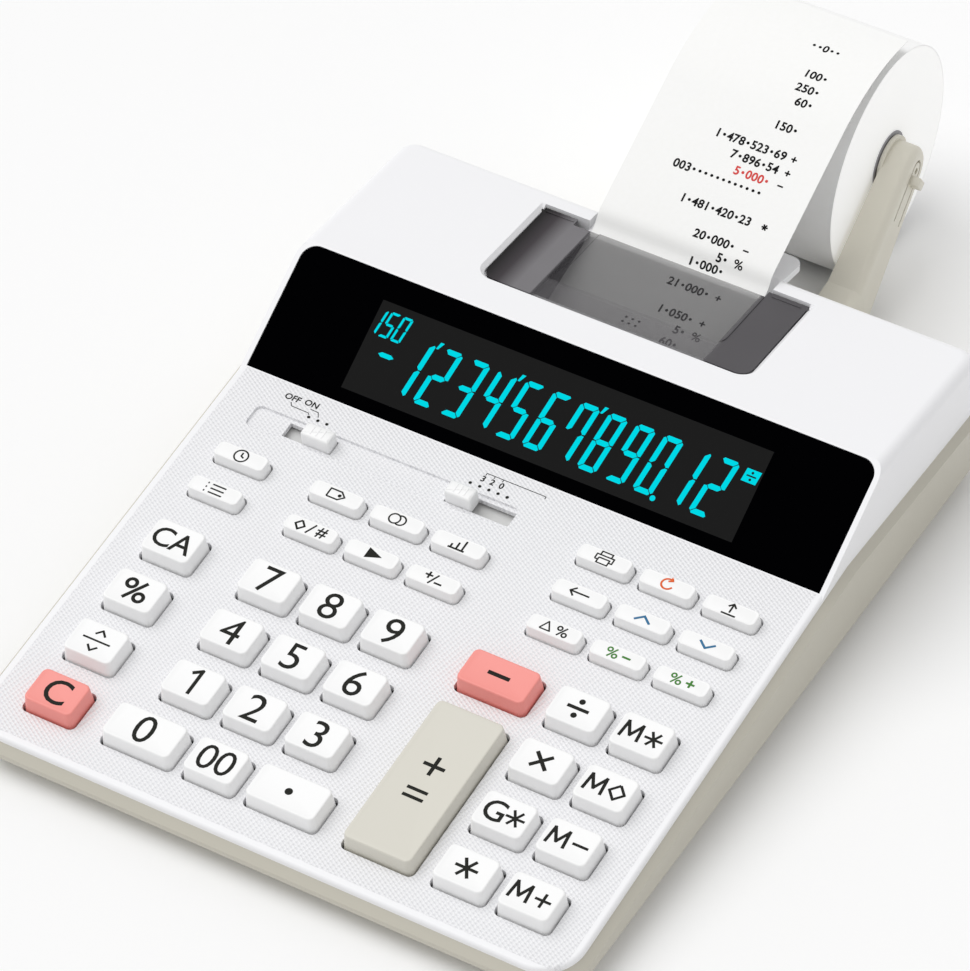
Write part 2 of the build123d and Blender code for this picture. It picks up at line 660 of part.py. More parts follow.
with BuildPart() as top_case:
    add(outer_upper)
    side_edges = top_case.edges().filter_by(lambda e: abs(e.center().X) > case_width / 2 - rim_bevel - 0.1)
    roof_edges = side_edges.filter_by(
        lambda e: e.center().Z > seam_height(e.center().Y) + 1 and abs(e.tangent_at(0.5).Z) < 0.9)
    top_side = roof_edges.filter_by(lambda e: e.center().Y > window_end[0])
    rear_corners = top_case.edges().filter_by(
        lambda e: e.center().Y > window_end[0] and e.center().Z > top_rear_height - 2)
    fillet(top_side + rear_corners.filter_by(lambda e: e not in top_side and e.center().Y > top_rear - rear_corner),
           top_edge_round)
    face_edges = top_case.edges().filter_by(
        lambda e: e.center().Y < face_end[0] - 1 and e.center().Z > seam_height(e.center().Y) + 1)
    fillet(face_edges, face_edge_round)
    add(inner_upper, mode=Mode.SUBTRACT)
    with BuildPart(mode=Mode.PRIVATE) as below:
        with BuildSketch(Plane.YZ):
            with BuildLine():
                Polyline(*beyond_seam(-case_depth), close=True)
            make_face()
        extrude(amount=case_width, both=True)
        with BuildSketch(Plane.XY.offset(-case_depth)) as inside:
            with Locations((0, y0 + case_depth / 2)):
                Rectangle(case_width - 2 * (rim_bevel + top_wall), case_depth - 2 * (rim_bevel + top_wall))
            fillet(inside.vertices().group_by(Axis.Y)[0], front_corner - rim_bevel - top_wall)
            fillet(inside.vertices().group_by(Axis.Y)[-1], rear_corner - rim_bevel - top_wall)
        extrude(amount=2 * case_depth, mode=Mode.SUBTRACT)
    add(below.part, mode=Mode.SUBTRACT)
    # screw posts, down to the bosses of the bottom case
    with BuildPart(mode=Mode.PRIVATE) as posts:
        with BuildSketch(Plane.XY.offset(post_joint_height)):
            with Locations(*case_posts):
                Circle(post_radius)
        extrude(amount=window_end[1])
        add(outer_upper, mode=Mode.INTERSECT)
    add(posts.part)
    # posts that carry the circuit board
    with BuildSketch(face_plane.offset(-board_top)):
        with Locations(*board_posts):
            Circle(board_post_radius)
    extrude(amount=board_top - top_wall / 2)
    # walls round the printer well and the recess for the tape
    with BuildSketch(top_plane.offset(-well_depth)):
        with Locations((0, on_top(cover_front))):
            Rectangle(cover_width + 2 * well_wall, on_top(cover_rear) - on_top(cover_front) + 1,
                      align=(Align.CENTER, Align.MIN))
    extrude(amount=well_depth - top_wall / 2)
    with BuildSketch(Plane.YZ.offset(paper_x)):
        with BuildLine():
            Polyline((ramp_top[0][0], ramp_top[0][1] - shelf_thickness), ramp_top[0],
                     (ramp_top[0][0], top_rear_height - top_wall / 2),
                     (top_rear - top_wall / 2, top_rear_height - top_wall / 2),
                     (top_rear - top_wall / 2, ramp_top[1][1] - shelf_thickness), close=True)
        make_face()
    extrude(amount=ramp_half + ramp_cheek, both=True)
    # shelf behind the case
    with BuildSketch(Plane.YZ.offset(paper_x)):
        with BuildLine():
            Polyline((top_rear - top_wall / 2, ramp_top[1][1]), ramp_top[1],
                     (rear_wall + shelf_length - rim_bevel, ramp_top[1][1] - shelf_drop),
                     (rear_wall + shelf_length - rim_bevel, ramp_top[1][1] - shelf_drop - shelf_thickness),
                     (top_rear, ramp_top[1][1] - shelf_thickness),
                     (top_rear - top_wall / 2, ramp_top[1][1] - shelf_thickness), close=True)
        make_face()
    extrude(amount=shelf_half, both=True)
    shelf_corners = top_case.edges().filter_by(
        lambda e: e.center().Y > rear_wall + shelf_length - rim_bevel - 0.1 and abs(e.tangent_at(0.5).X) < 0.1)
    fillet(shelf_corners, cover_corner)
    # key holes
    with BuildSketch(face_plane.offset(0.5)):
        for name, x, up, width, length in all_keys:
            with Locations((x, up)):
                RectangleRounded(width, length, key_corner)
    extrude(amount=-top_wall - 1, mode=Mode.SUBTRACT)
    # switch channel and slots
    with BuildSketch(face_plane):
        with Locations(((channel_left + channel_right) / 2, (channel_low + channel_high) / 2)):
            RectangleRounded(channel_right - channel_left, channel_high - channel_low, channel_corner)
    extrude(amount=-channel_depth, mode=Mode.SUBTRACT)
    with BuildSketch(face_plane):
        for name, x, width, reach_left, reach_right in switches:
            with Locations((x + (reach_right - reach_left) / 2, knob_row)):
                Rectangle(width + reach_left + reach_right + 2 * slot_end_gap, knob_length + 2 * knob_gap)
    extrude(amount=-top_wall - 1, mode=Mode.SUBTRACT)
    # recess and opening of the display
    with BuildSketch(window_plane) as recess:
        with Locations((0, display_lower_gap - fit_gap)):
            Rectangle(display_width + 2 * fit_gap, display_height + 2 * fit_gap, align=(Align.CENTER, Align.MIN))
        fillet(recess.vertices().group_by(Axis.Y)[-1], display_corner)
    extrude(amount=-display_sink - display_thickness, mode=Mode.SUBTRACT)
    with BuildSketch(window_plane):
        with Locations((0, lcd_centre)):
            Rectangle(lcd_width + 2 * fit_gap, lcd_height + 2 * fit_gap)
    extrude(amount=-top_wall - 1, mode=Mode.SUBTRACT)
    # seat of the printer cover, the opening under it and its pin holes
    with BuildSketch(top_plane) as seat:
        with Locations((0, on_top(cover_front) - 2 * fit_gap)):
            Rectangle(cover_width + 4 * fit_gap, on_top(cover_rear) - on_top(cover_front) + 4 * fit_gap,
                      align=(Align.CENTER, Align.MIN))
        fillet(seat.vertices().group_by(Axis.Y)[0], cover_corner)
    extrude(amount=-cover_sink - cover_thickness, mode=Mode.SUBTRACT)
    with BuildSketch(top_plane) as bevel:
        with Locations((0, on_top(cover_front) - 2 * fit_gap - seat_bevel)):
            Rectangle(cover_width + 4 * fit_gap + 2 * seat_bevel,
                      on_top(cover_rear) - on_top(cover_front) + 4 * fit_gap + seat_bevel,
                      align=(Align.CENTER, Align.MIN))
        fillet(bevel.vertices().group_by(Axis.Y)[0], cover_corner + seat_bevel)
    extrude(amount=-seat_bevel, taper=45, mode=Mode.SUBTRACT)
    with BuildSketch(top_plane) as opening:
        with Locations((0, on_top(cover_front) + cover_ledge)):
            Rectangle(cover_width - 2 * cover_ledge, on_top(tear_edge - 8) - on_top(cover_front),
                      align=(Align.CENTER, Align.MIN))
        with Locations((0, on_top(tear_edge - 8))):
            Rectangle(cover_width + 4 * fit_gap, on_top(cover_rear) - on_top(tear_edge - 8) + 2 * fit_gap,
                      align=(Align.CENTER, Align.MIN))
        with Locations((paper_x, on_top(ramp_front))):
            Rectangle(2 * ramp_half, case_depth, align=(Align.CENTER, Align.MIN), mode=Mode.SUBTRACT)
    extrude(amount=-well_depth - 1, mode=Mode.SUBTRACT)
    with BuildSketch(Plane.YZ.offset(paper_x)):
        with BuildLine():
            Polyline((ramp_top[0][0] - 1, ramp_top[0][1]), ramp_top[0], ramp_top[1],
                     (rear_wall + 1, ramp_top[1][1]), (rear_wall + 1, top_rear_height + 5),
                     (ramp_top[0][0] - 1, top_rear_height + 5), close=True)
        make_face()
    extrude(amount=ramp_half, both=True, mode=Mode.SUBTRACT)
    with BuildSketch(Plane.YZ):
        with Locations((hinge_y, hinge_z)):
            Circle(pin_radius + shaft_gap)
    extrude(amount=cover_sides + pin_length + fit_gap, both=True, mode=Mode.SUBTRACT)
    # screw holes in the posts
    with BuildSketch(Plane.XY.offset(post_joint_height)):
        with Locations(*case_posts):
            Circle(screw_radius - fit_gap)
    extrude(amount=7, mode=Mode.SUBTRACT)
    with BuildSketch(face_plane.offset(-board_top)):
        with Locations(*board_posts):
            Circle(screw_radius - fit_gap)
    extrude(amount=4, mode=Mode.SUBTRACT)

top_case.part.label = "top_case"
export_step(top_case.part, "parts/top_case.step")

# ---------------------------------------------------------------- display window and the module behind it
with BuildPart() as display_window:
    with BuildSketch(window_plane.offset(-display_sink - display_thickness)) as pane:
        with Locations((0, display_lower_gap)):
            Rectangle(display_width, display_height, align=(Align.CENTER, Align.MIN))
        fillet(pane.vertices().group_by(Axis.Y)[-1], display_corner - fit_gap)
    extrude(amount=display_thickness)

display_window.part.label = "display_window"
export_step(display_window.part, "parts/display_window.step")

lcd_front = display_sink + display_thickness + fit_gap
with BuildPart() as lcd_module:
    with BuildSketch(window_plane.offset(-lcd_front)):
        with Locations((0, lcd_centre)):
            Rectangle(lcd_width, lcd_height)
    extrude(amount=-lcd_thickness)
    with BuildSketch(window_plane.offset(-top_wall)):
        with Locations((0, lcd_centre)):
            Rectangle(lcd_width + 2 * lcd_flange, lcd_height + 2 * lcd_flange)
    extrude(amount=-lcd_flange_thickness)

lcd_module.part.label = "lcd_module"
export_step(lcd_module.part, "parts/lcd_module.step")

# ---------------------------------------------------------------- printer cover
with BuildPart() as printer_cover:
    with BuildSketch(top_plane.offset(-cover_sink - cover_thickness)) as plate:
        with Locations((0, on_top(cover_front))):
            Rectangle(cover_width, on_top(cover_rear) - on_top(cover_front), align=(Align.CENTER, Align.MIN))
        fillet(plate.vertices().group_by(Axis.Y)[0], cover_corner)
        with Locations(((tab_left + tab_right) / 2, on_top(tear_edge))):
            Rectangle(tab_right - tab_left, 20, align=(Align.CENTER, Align.MIN), mode=Mode.SUBTRACT)
    extrude(amount=cover_thickness)
    with BuildSketch(top_plane.offset(-cover_sink - 0.1)) as field:
        with Locations((panel_left, on_top(panel_front))):
            Rectangle(tab_right - panel_left, on_top(tear_edge) - on_top(panel_front), align=(Align.MIN, Align.MIN))
        fillet(field.vertices().group_by(Axis.Y)[0], cover_corner)
    extrude(amount=panel_rise + 0.1)
    for side in (-1, 1):
        with BuildSketch(Plane.YZ.offset(side * (cover_sides - 2))):
            with Locations((hinge_y, hinge_z)):
                Circle(pin_radius)
        extrude(amount=side * (pin_length + 2))

printer_cover.part.label = "printer_cover"
export_step(printer_cover.part, "parts/printer_cover.step")

# ---------------------------------------------------------------- rubber key sheet and circuit board
corner_x = right_xs[0] - small_key_width
sheet_low = board_start
sheet_step = small_rows[1] + small_key_length
sheet_high = small_rows[2] + small_key_length

with BuildPart() as key_membrane:
    with BuildSketch(face_plane.offset(-board_top)):
        with Locations((0, (sheet_low + sheet_step) / 2)):
            Rectangle(board_width, sheet_step - sheet_low)
        with Locations(((corner_x + board_width / 2) / 2, (sheet_low + sheet_high) / 2)):
            Rectangle(board_width / 2 - corner_x, sheet_high - sheet_low)
        with Locations(*board_posts):
            Circle(board_post_radius + 2 * fit_gap, mode=Mode.SUBTRACT)
    extrude(amount=sheet_thickness)
    for keys, radius, slope in ((big_keys, dome_radius, 30), (small_keys, small_dome_radius, 15)):
        with BuildSketch(face_plane.offset(-sheet_top)):
            with Locations(*[(x, up) for name, x, up, width, length in keys]):
                Circle(radius)
        extrude(amount=dome_height, taper=slope)
    with BuildSketch():
        with Locations(*case_posts):
            Circle(post_radius + 2 * fit_gap)
    extrude(amount=window_end[1], mode=Mode.SUBTRACT)

key_membrane.part.label = "key_membrane"
export_step(key_membrane.part, "parts/key_membrane.step")

with BuildPart() as circuit_board:
    with BuildSketch(face_plane.offset(-board_top)):
        with Locations((0, (board_start + board_end) / 2)):
            Rectangle(board_width, board_end - board_start)
        with Locations(*board_posts):
            Circle(screw_radius, mode=Mode.SUBTRACT)
    extrude(amount=-board_thickness)
    # bodies of the two slide switches, under the knobs
    with BuildSketch(face_plane.offset(-board_top)):
        for name, x, width, reach_left, reach_right in switches:
            with Locations((x + (reach_right - reach_left) / 2, knob_row)):
                Rectangle(width + reach_left + reach_right, knob_length + knob_flange)
    extrude(amount=board_top - knob_flange_bottom - switch_clear)
    with BuildSketch():
        with Locations(*case_posts):
            Circle(post_radius + 2 * fit_gap)
    extrude(amount=window_end[1], mode=Mode.SUBTRACT)

circuit_board.part.label = "circuit_board"
export_step(circuit_board.part, "parts/circuit_board.step")

# ---------------------------------------------------------------- printer frame with the print head block
platen_y = y0 + platen_centre
plates = frame_inner + frame_plate
with BuildPart() as printer_frame:
    for side in (-1, 1):
        with BuildSketch(Plane.YZ.offset(paper_x + side * frame_inner)):
            with BuildLine():
                FilletPolyline((y0 + frame_front, floor_top), (y0 + frame_front, frame_top),
                               (y0 + frame_front + 16, frame_top), (y0 + frame_rear, frame_top - 8),
                               (y0 + frame_rear, floor_top), radius=2)
                Line((y0 + frame_rear, floor_top), (y0 + frame_front, floor_top))
            make_face()
            with Locations((platen_y, platen_height)):
                Circle(platen_shaft + shaft_gap, mode=Mode.SUBTRACT)
            with Locations((y0 + ink_centre, ink_height)):
                Circle(ink_shaft + shaft_gap, mode=Mode.SUBTRACT)
        extrude(amount=side * frame_plate)
    # floor flanges, carrier bars and the head block
    with BuildSketch(Plane.XY.offset(floor_top)):
        for side in (-1, 1):
            with Locations((paper_x + side * (frame_inner - 3), y0 + (frame_front + frame_rear) / 2)):
                Rectangle(6, frame_rear - frame_front - 8)
                with GridLocations(1, frame_screw_pitch, 1, 2):
                    Circle(screw_radius, mode=Mode.SUBTRACT)
    extrude(amount=frame_plate)
    with BuildSketch(Plane.YZ.offset(paper_x)):
        with Locations((y0 + (head_front + head_rear) / 2, head_low)):
            Rectangle(head_rear - head_front, 4, align=(Align.CENTER, Align.MIN))
        with Locations((y0 + frame_rear - 4, floor_top + 3)):
            Rectangle(4, 3, align=(Align.CENTER, Align.MIN))
    extrude(amount=frame_inner + 0.5, both=True)
    with BuildSketch(Plane.YZ.offset(paper_x)):
        with Locations((y0 + (head_front + head_rear) / 2, head_low)):
            Rectangle(head_rear - head_front, head_high - head_low, align=(Align.CENTER, Align.MIN))
    extrude(amount=head_width / 2, both=True)

printer_frame.part.label = "printer_frame"
export_step(printer_frame.part, "parts/printer_frame.step")

# ---------------------------------------------------------------- rollers
rollers = [("platen_roller", platen_centre, platen_height, platen_radius, 2 * (frame_inner - platen_side_gap),
            platen_shaft), ("ink_roller", ink_centre, ink_height, ink_radius, ink_length, ink_shaft)]
for name, back, height, radius, length, shaft in rollers:
    with BuildPart() as roller:
        with BuildSketch(Plane.YZ.offset(paper_x)):
            with Locations((y0 + back, height)):
                Circle(radius)
        extrude(amount=length / 2, both=True)
        chamfer(roller.edges(), 0.4)
        with BuildSketch(Plane.YZ.offset(paper_x)):
            with Locations((y0 + back, height)):
                Circle(shaft)
        extrude(amount=plates + 0.4, both=True)
    roller.part.label = name
    export_step(roller.part, "parts/" + name + ".step")

# ---------------------------------------------------------------- roll arms
arm_slope = degrees(atan2(roll_height - elbow_height, roll_centre - elbow_distance))
arm_plane = Plane((0, roll_y, roll_height), (0, cos(radians(arm_slope)), sin(radians(arm_slope))), (1, 0, 0))

with BuildPart() as roll_arms:
    with BuildSketch(Plane.YZ.offset(paper_x)):
        with Locations((pivot_y, pivot_height)):
            Circle(arm_root)
        with Locations((elbow_y, elbow_height)):
            Circle(elbow_radius)
        make_hull()
    extrude(amount=arm_outer, both=True)
    with BuildSketch(Plane.YZ.offset(paper_x)):
        with Locations((elbow_y, elbow_height)):
            Circle(elbow_radius)
        with Locations((roll_y, roll_height)):
            Circle(arm_tip)
        make_hull()
    extrude(amount=arm_outer, both=True)
    # the outer sides lean in towards the tips; nothing is left between the arms
    with BuildSketch() as plan:
        for side in (-1, 1):
            with BuildLine():
                Polyline((paper_x + side * arm_inner, y0 + pivot_distance - 20),
                         (paper_x + side * arm_outer, y0 + pivot_distance - 20), (paper_x + side * arm_outer, elbow_y),
                         (paper_x + side * (arm_outer - arm_narrowing), roll_y + arm_tip),
                         (paper_x + side * (arm_outer - arm_narrowing), roll_y + 20),
                         (paper_x + side * arm_inner, roll_y + 20), close=True)
            make_face()
    extrude(amount=2 * roll_height, mode=Mode.INTERSECT)
    leaning = roll_arms.faces().filter_by(
        lambda f: abs(f.normal_at().X) > 0.9 and abs(f.center().X - paper_x) > arm_inner + 1 and f.center().Y > elbow_y)
    fillet(leaning.edges().filter_by(lambda e: e.center().Y > elbow_y + 1), arm_round)
    # a finger tab behind each tip, and the slot round the spring tongue of each arm
    for side in (-1, 1):
        with BuildSketch(arm_plane.offset(paper_x + side * (arm_inner + arm_round))):
            with Locations((0, -arm_tip)):
                Rectangle(2 * tab_size, tab_size)
        extrude(amount=side * (arm_width - arm_narrowing - 2 * arm_round))
        with BuildSketch(arm_plane.offset(paper_x + side * arm_outer)):
            with Locations((-tongue_length / 2, 0)):
                SlotCenterToCenter(tongue_length, 2 * (tongue_half + tongue_slot))
                SlotCenterToCenter(tongue_length, 2 * tongue_half, mode=Mode.SUBTRACT)
            with Locations((-tongue_length, 0)):
                Rectangle(tongue_length, 4 * tongue_half, align=(Align.MAX, Align.CENTER), mode=Mode.SUBTRACT)
            Circle(tongue_hole)
        extrude(amount=-side * (arm_narrowing + tongue_depth), mode=Mode.SUBTRACT)
    # hubs in the core of the roll, and the cross shaft
    for side in (-1, 1):
        with BuildSketch(Plane.YZ.offset(paper_x + side * (arm_inner + 0.5))):
            with Locations((roll_y, roll_height)):
                Circle(roll_core - hub_gap)
        extrude(amount=-side * (hub_length + 0.5))
        with BuildSketch(Plane.YZ.offset(paper_x + side * (arm_inner + 0.5))):
            with Locations((roll_y, roll_height)):
                Circle(arm_tip + hub_flange)
        extrude(amount=-side * (hub_flange_thickness + 0.5))
    with BuildSketch(Plane.YZ.offset(paper_x)):
        with Locations((pivot_y, pivot_height)):
            Circle(pivot_shaft)
    extrude(amount=ear_inner + ear_width, both=True)

roll_arms.part.label = "roll_arms"
export_step(roll_arms.part, "parts/roll_arms.step")

# ---------------------------------------------------------------- paper roll and tape
with BuildPart() as paper_roll:
    with BuildSketch(Plane.YZ.offset(paper_x)):
        with Locations((roll_y, roll_height)):
            Circle(roll_radius)
            Circle(roll_core, mode=Mode.SUBTRACT)
    extrude(amount=paper_width / 2, both=True)

paper_roll.part.label = "paper_roll"
export_step(paper_roll.part, "parts/paper_roll.step")

turn_y = y0 + inlet_turn
web_end = (turn_y + web_length * cos(radians(web_fall)), web_height - web_length * sin(radians(web_fall)))
with BuildPart() as paper_tape:
    with BuildSketch(Plane.YZ.offset(paper_x)):
        with BuildLine() as path:
            FilletPolyline(web_end, (turn_y, web_height), (platen_y, web_height), radius=turn_radius)
            JernArc((platen_y, web_height), (-1, 0), path_radius, feed_angle - 180)
            Line(path.line @ 1, (y0 + exit_distance, exit_height))
            JernArc((y0 + exit_distance, exit_height), (cos(radians(feed_angle)), sin(radians(feed_angle))),
                    exit_bend, exit_angle - feed_angle)
            JernArc((y0 + bend_top[0], bend_top[1]), (cos(radians(exit_angle)), sin(radians(exit_angle))),
                    lean_radius, lean_angle - exit_angle)
            Line((y0 + lean_start[0], lean_start[1]), (y0 + drape_start[0], drape_start[1]))
            JernArc((y0 + drape_start[0], drape_start[1]), (cos(radians(lean_angle)), sin(radians(lean_angle))),
                    drape_radius, -lean_angle - drape_fall)
        trace(line_width=paper_thickness)
    extrude(amount=paper_width / 2, both=True)

paper_tape.part.label = "paper_tape"
export_step(paper_tape.part, "parts/paper_tape.step")

for made in (display_window, lcd_module, printer_cover, key_membrane, circuit_board, printer_frame, roll_arms,
             paper_roll, paper_tape, battery_door, bottom_case, top_case):
    print(made.part.label, round(made.part.volume), "mm3,", len(made.part.solids()), "solid")
print("total depth", round(total_depth, 2), "front edge y", round(y0, 2), "height", round(drape_top, 2))
print("holder hinge y, z", round(pivot_y, 3), pivot_height, "cover hinge y, z", round(hinge_y, 3), round(hinge_z, 3))
print("roll y, z", round(roll_y, 3), roll_height, "platen y, z", round(platen_y, 3), platen_height,
      "ink y, z", round(y0 + ink_centre, 3), ink_height)
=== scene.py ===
import bpy
import bmesh
import math
from mathutils import Matrix, Vector


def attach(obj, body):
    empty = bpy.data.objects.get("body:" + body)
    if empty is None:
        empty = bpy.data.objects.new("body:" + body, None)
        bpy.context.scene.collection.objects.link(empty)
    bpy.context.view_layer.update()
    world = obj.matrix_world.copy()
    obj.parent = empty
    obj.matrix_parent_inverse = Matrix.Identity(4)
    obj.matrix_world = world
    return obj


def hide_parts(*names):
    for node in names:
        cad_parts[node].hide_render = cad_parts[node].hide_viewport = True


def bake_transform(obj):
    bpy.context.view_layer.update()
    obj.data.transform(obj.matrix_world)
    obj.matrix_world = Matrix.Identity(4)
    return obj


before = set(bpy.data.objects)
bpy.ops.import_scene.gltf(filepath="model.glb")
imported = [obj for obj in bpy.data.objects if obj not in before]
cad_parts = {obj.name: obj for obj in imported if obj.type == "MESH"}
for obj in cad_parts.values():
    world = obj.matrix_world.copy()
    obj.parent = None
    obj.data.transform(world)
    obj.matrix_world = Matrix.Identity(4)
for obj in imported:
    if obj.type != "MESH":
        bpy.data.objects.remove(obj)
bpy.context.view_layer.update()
mm = 0.001

# ---- the calculator's own planes, in the frame's metres ----
calculator = dict(frontY=-0.1725, rim=0.0022, faceHeight=0.0121, faceAngle=6.7, faceLength=0.1459,
                  windowAngle=31.0, windowSlant=0.0414, topAngle=5.0)
# the tape's path in millimetres: across the case, behind its front edge and above the table
paper = dict(x=1.2, width=57.5, thickness=0.2, printLift=0.03, platenBack=197.0, platenHeight=27.0,
             platenRadius=7.0, turnBack=240.0, turnRadius=20.0, exitBack=231.6, exitHeight=43.6,
             exitBend=6.0, exitAngle=62.0, leanRadius=7.0, leanAngle=28.0, leanRun=44.993,
             drapeRadius=62.0, fall=11.0, rollBack=308.9, rollHeight=37.9, rollClear=36.6)


def slopePlane(y, z, angle):
    a = math.radians(angle)
    up, normal = Vector((0, math.cos(a), math.sin(a))), Vector((0, -math.sin(a), math.cos(a)))
    return Matrix(((1, up.x, normal.x, 0), (0, up.y, normal.y, y), (0, up.z, normal.z, z), (0, 0, 0, 1)))


frontY = calculator["frontY"]
faceY = frontY + calculator["rim"]
facePlane = slopePlane(faceY, calculator["faceHeight"], calculator["faceAngle"])
faceEnd = facePlane @ Vector((0, calculator["faceLength"], 0))
windowPlane = slopePlane(faceEnd.y, faceEnd.z, calculator["windowAngle"])
windowEnd = windowPlane @ Vector((0, calculator["windowSlant"], 0))
topPlane = slopePlane(windowEnd.y, windowEnd.z, -calculator["topAngle"])


def onTop(back):
    return (frontY + back - windowEnd.y) / math.cos(math.radians(calculator["topAngle"]))


# ---- small helpers ----
def deselectAll():
    if bpy.context.object and bpy.context.object.mode != 'OBJECT':
        setMode('OBJECT')
    bpy.ops.object.select_all(action='DESELECT')


def setMode(mode):
    bpy.ops.object.mode_set(mode=mode)


def makeCurrent(piece):
    deselectAll()
    piece.select_set(True)
    bpy.context.view_layer.objects.active = piece


def pick(kind, test):
    # Selects edges or faces by their place, in edit mode.
    bpy.ops.mesh.select_mode(type=kind[:-1].upper())
    bpy.ops.mesh.select_all(action='DESELECT')
    data = bpy.context.object.data
    for element in getattr(bmesh.from_edit_mesh(data), kind):
        if test(element):
            element.select_set(True)
    bmesh.update_edit_mesh(data)


def edgeMiddle(edge):
    return (edge.verts[0].co + edge.verts[1].co) / 2


def bevelEdges(width, steps, profile=0.5):
    bpy.ops.mesh.bevel(offset=width, segments=steps, affect='EDGES', profile=profile)


def metres(sizes):
    return [size * mm for size in sizes]


def smooth(piece, angle=35):
    makeCurrent(piece)
    bpy.ops.object.shade_smooth_by_angle(angle=math.radians(angle))


def give(piece, name, finish, body):
    piece.name = piece.data.name = name
    piece.data.materials.clear()
    piece.data.materials.append(finish)
    if body:
        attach(piece, body)


def newObject(name, data):
    piece = bpy.data.objects.new(name, data)
    bpy.context.scene.collection.objects.link(piece)
    return piece


def joinAll(pieces):
    makeCurrent(pieces[0])
    for piece in pieces:
        piece.select_set(True)
    if len(pieces) > 1:
        bpy.ops.object.join()
    return pieces[0]


def box(width, length, height, x=0, y=0, z=0):
    # A block standing on z, bevelled and placed by the caller.
    deselectAll()
    bpy.ops.mesh.primitive_cube_add(size=1, location=(x, y, z + height / 2), scale=(width, length, height))
    bpy.ops.object.transform_apply()
    return bpy.context.object


def bevelled(piece, width, segments=2, angle=40):
    makeCurrent(piece)
    rounding = piece.modifiers.new("rounding", 'BEVEL')
    rounding.width, rounding.segments, rounding.limit_method = width, segments, 'ANGLE'
    rounding.angle_limit = math.radians(angle)
    bpy.ops.object.modifier_apply(modifier="rounding")
    smooth(piece)
    return piece


def disc(radius, height, steps=32, x=0, y=0, z=0):
    deselectAll()
    bpy.ops.mesh.primitive_cylinder_add(vertices=steps, radius=radius, depth=height,
                                        location=(x, y, z + height / 2))
    bpy.ops.object.transform_apply()
    return bpy.context.object


def flatRing(outer, inner, height, steps=40):
    piece = disc(outer, height, steps)
    setMode('EDIT')
    pick('faces', lambda f: abs(f.normal.z) > 0.9)
    bpy.ops.mesh.inset(thickness=outer - inner)
    bpy.ops.mesh.delete(type='FACE')
    pick('edges', lambda e: e.is_boundary)
    bpy.ops.mesh.bridge_edge_loops()
    setMode('OBJECT')
    return piece


def words(text, size, bold, spread=1.0):
    # Lettering as a thin mesh in the XY plane, centred on the origin.
    deselectAll()
    bpy.ops.object.text_add()
    data = bpy.context.object.data
    data.body, data.size, data.offset, data.space_character = text, size, bold, spread
    data.align_x = data.align_y = 'CENTER'
    data.extrude, data.resolution_u = 0.00002, 4
    bpy.ops.object.convert(target='MESH')
    piece = bpy.context.object
    points = [vertex.co for vertex in piece.data.vertices]
    middle = Vector([(min(p[i] for p in points) + max(p[i] for p in points)) / 2 for i in range(3)])
    piece.data.transform(Matrix.Translation(-middle))
    return piece


def splitAtCorners(line, width):
    # Cuts a drawn line at its sharp corners, with square ends that fill them, so its width holds there.
    parts = [[Vector(line[0])]]
    for n in range(1, len(line)):
        here = Vector(line[n])
        parts[-1].append(here)
        if n + 1 < len(line) and (here - Vector(line[n - 1])).angle(Vector(line[n + 1]) - here) > 0.6:
            parts[-1][-1] = here + (here - parts[-1][-2]).normalized() * width * 0.35
            parts.append([here - (Vector(line[n + 1]) - here).normalized() * width * 0.35])
    return parts


def strokes(lines, width):
    # Drawn lines, in millimetres in the XY plane, as a flat printed mark.
    curve = bpy.data.curves.new("mark", 'CURVE')
    curve.dimensions, curve.bevel_depth, curve.bevel_resolution = '3D', width * mm / 2, 2
    curve.use_fill_caps = True
    for line in [part for drawn in lines for part in splitAtCorners(drawn, width)]:
        spline = curve.splines.new('POLY')
        spline.points.add(len(line) - 1)
        for point, (x, y) in zip(spline.points, line):
            point.co = (x * mm, y * mm, 0, 1)
    makeCurrent(newObject("mark", curve))
    bpy.ops.object.convert(target='MESH')
    piece = bpy.context.object
    piece.data.transform(Matrix.Diagonal((1, 1, 0.1, 1)))
    return piece


def ring(cx, cy, r, start=0, stop=360, steps=24):
    turns = [math.radians(start + (stop - start) * n / steps) for n in range(steps + 1)]
    return [(cx + r * math.cos(turn), cy + r * math.sin(turn)) for turn in turns]


print("helpers ready")


# ---- materials ----
def linear(code):
    parts = [int(code[n:n + 2], 16) / 255 for n in (0, 2, 4)]
    return tuple(c / 12.92 if c <= 0.04045 else ((c + 0.055) / 1.055) ** 2.4 for c in parts) + (1.0,)


def dimmed(code, part):
    return [c * part for c in linear(code)[:3]] + [1.0]


def feed(tree, node, values):
    # Sets the named inputs of a node, or links another node's outputs to them.
    for label, value in values.items():
        if isinstance(value, bpy.types.NodeSocket):
            tree.links.new(value, node.inputs[label])
        else:
            node.inputs[label].default_value = value
    return node


def mathNode(tree, operation, first, second=0.0, clamp=False):
    node = tree.nodes.new('ShaderNodeMath')
    node.operation, node.use_clamp = operation, clamp
    return feed(tree, node, {0: first, 1: second}).outputs[0]


def objectPlace(tree):
    return tree.nodes.new('ShaderNodeTexCoord').outputs['Object']


def splitPlace(tree, place):
    return feed(tree, tree.nodes.new('ShaderNodeSeparateXYZ'), {0: place}).outputs


def mappedPlace(tree, label, value):
    node = feed(tree, tree.nodes.new('ShaderNodeMapping'), {'Vector': objectPlace(tree), label: value})
    return node.outputs[0]


def noiseNode(tree, scale, detail=2, place=None):
    node = tree.nodes.new('ShaderNodeTexNoise')
    feed(tree, node, {'Scale': scale, 'Detail': detail, 'Vector': place or objectPlace(tree)})
    return node.outputs['Fac']


def mixNode(tree, factor, first, second, blend='MIX'):
    node = tree.nodes.new('ShaderNodeMix')
    node.data_type, node.blend_type = 'RGBA', blend
    return feed(tree, node, {'Factor': factor, 'A': first, 'B': second}).outputs['Result']


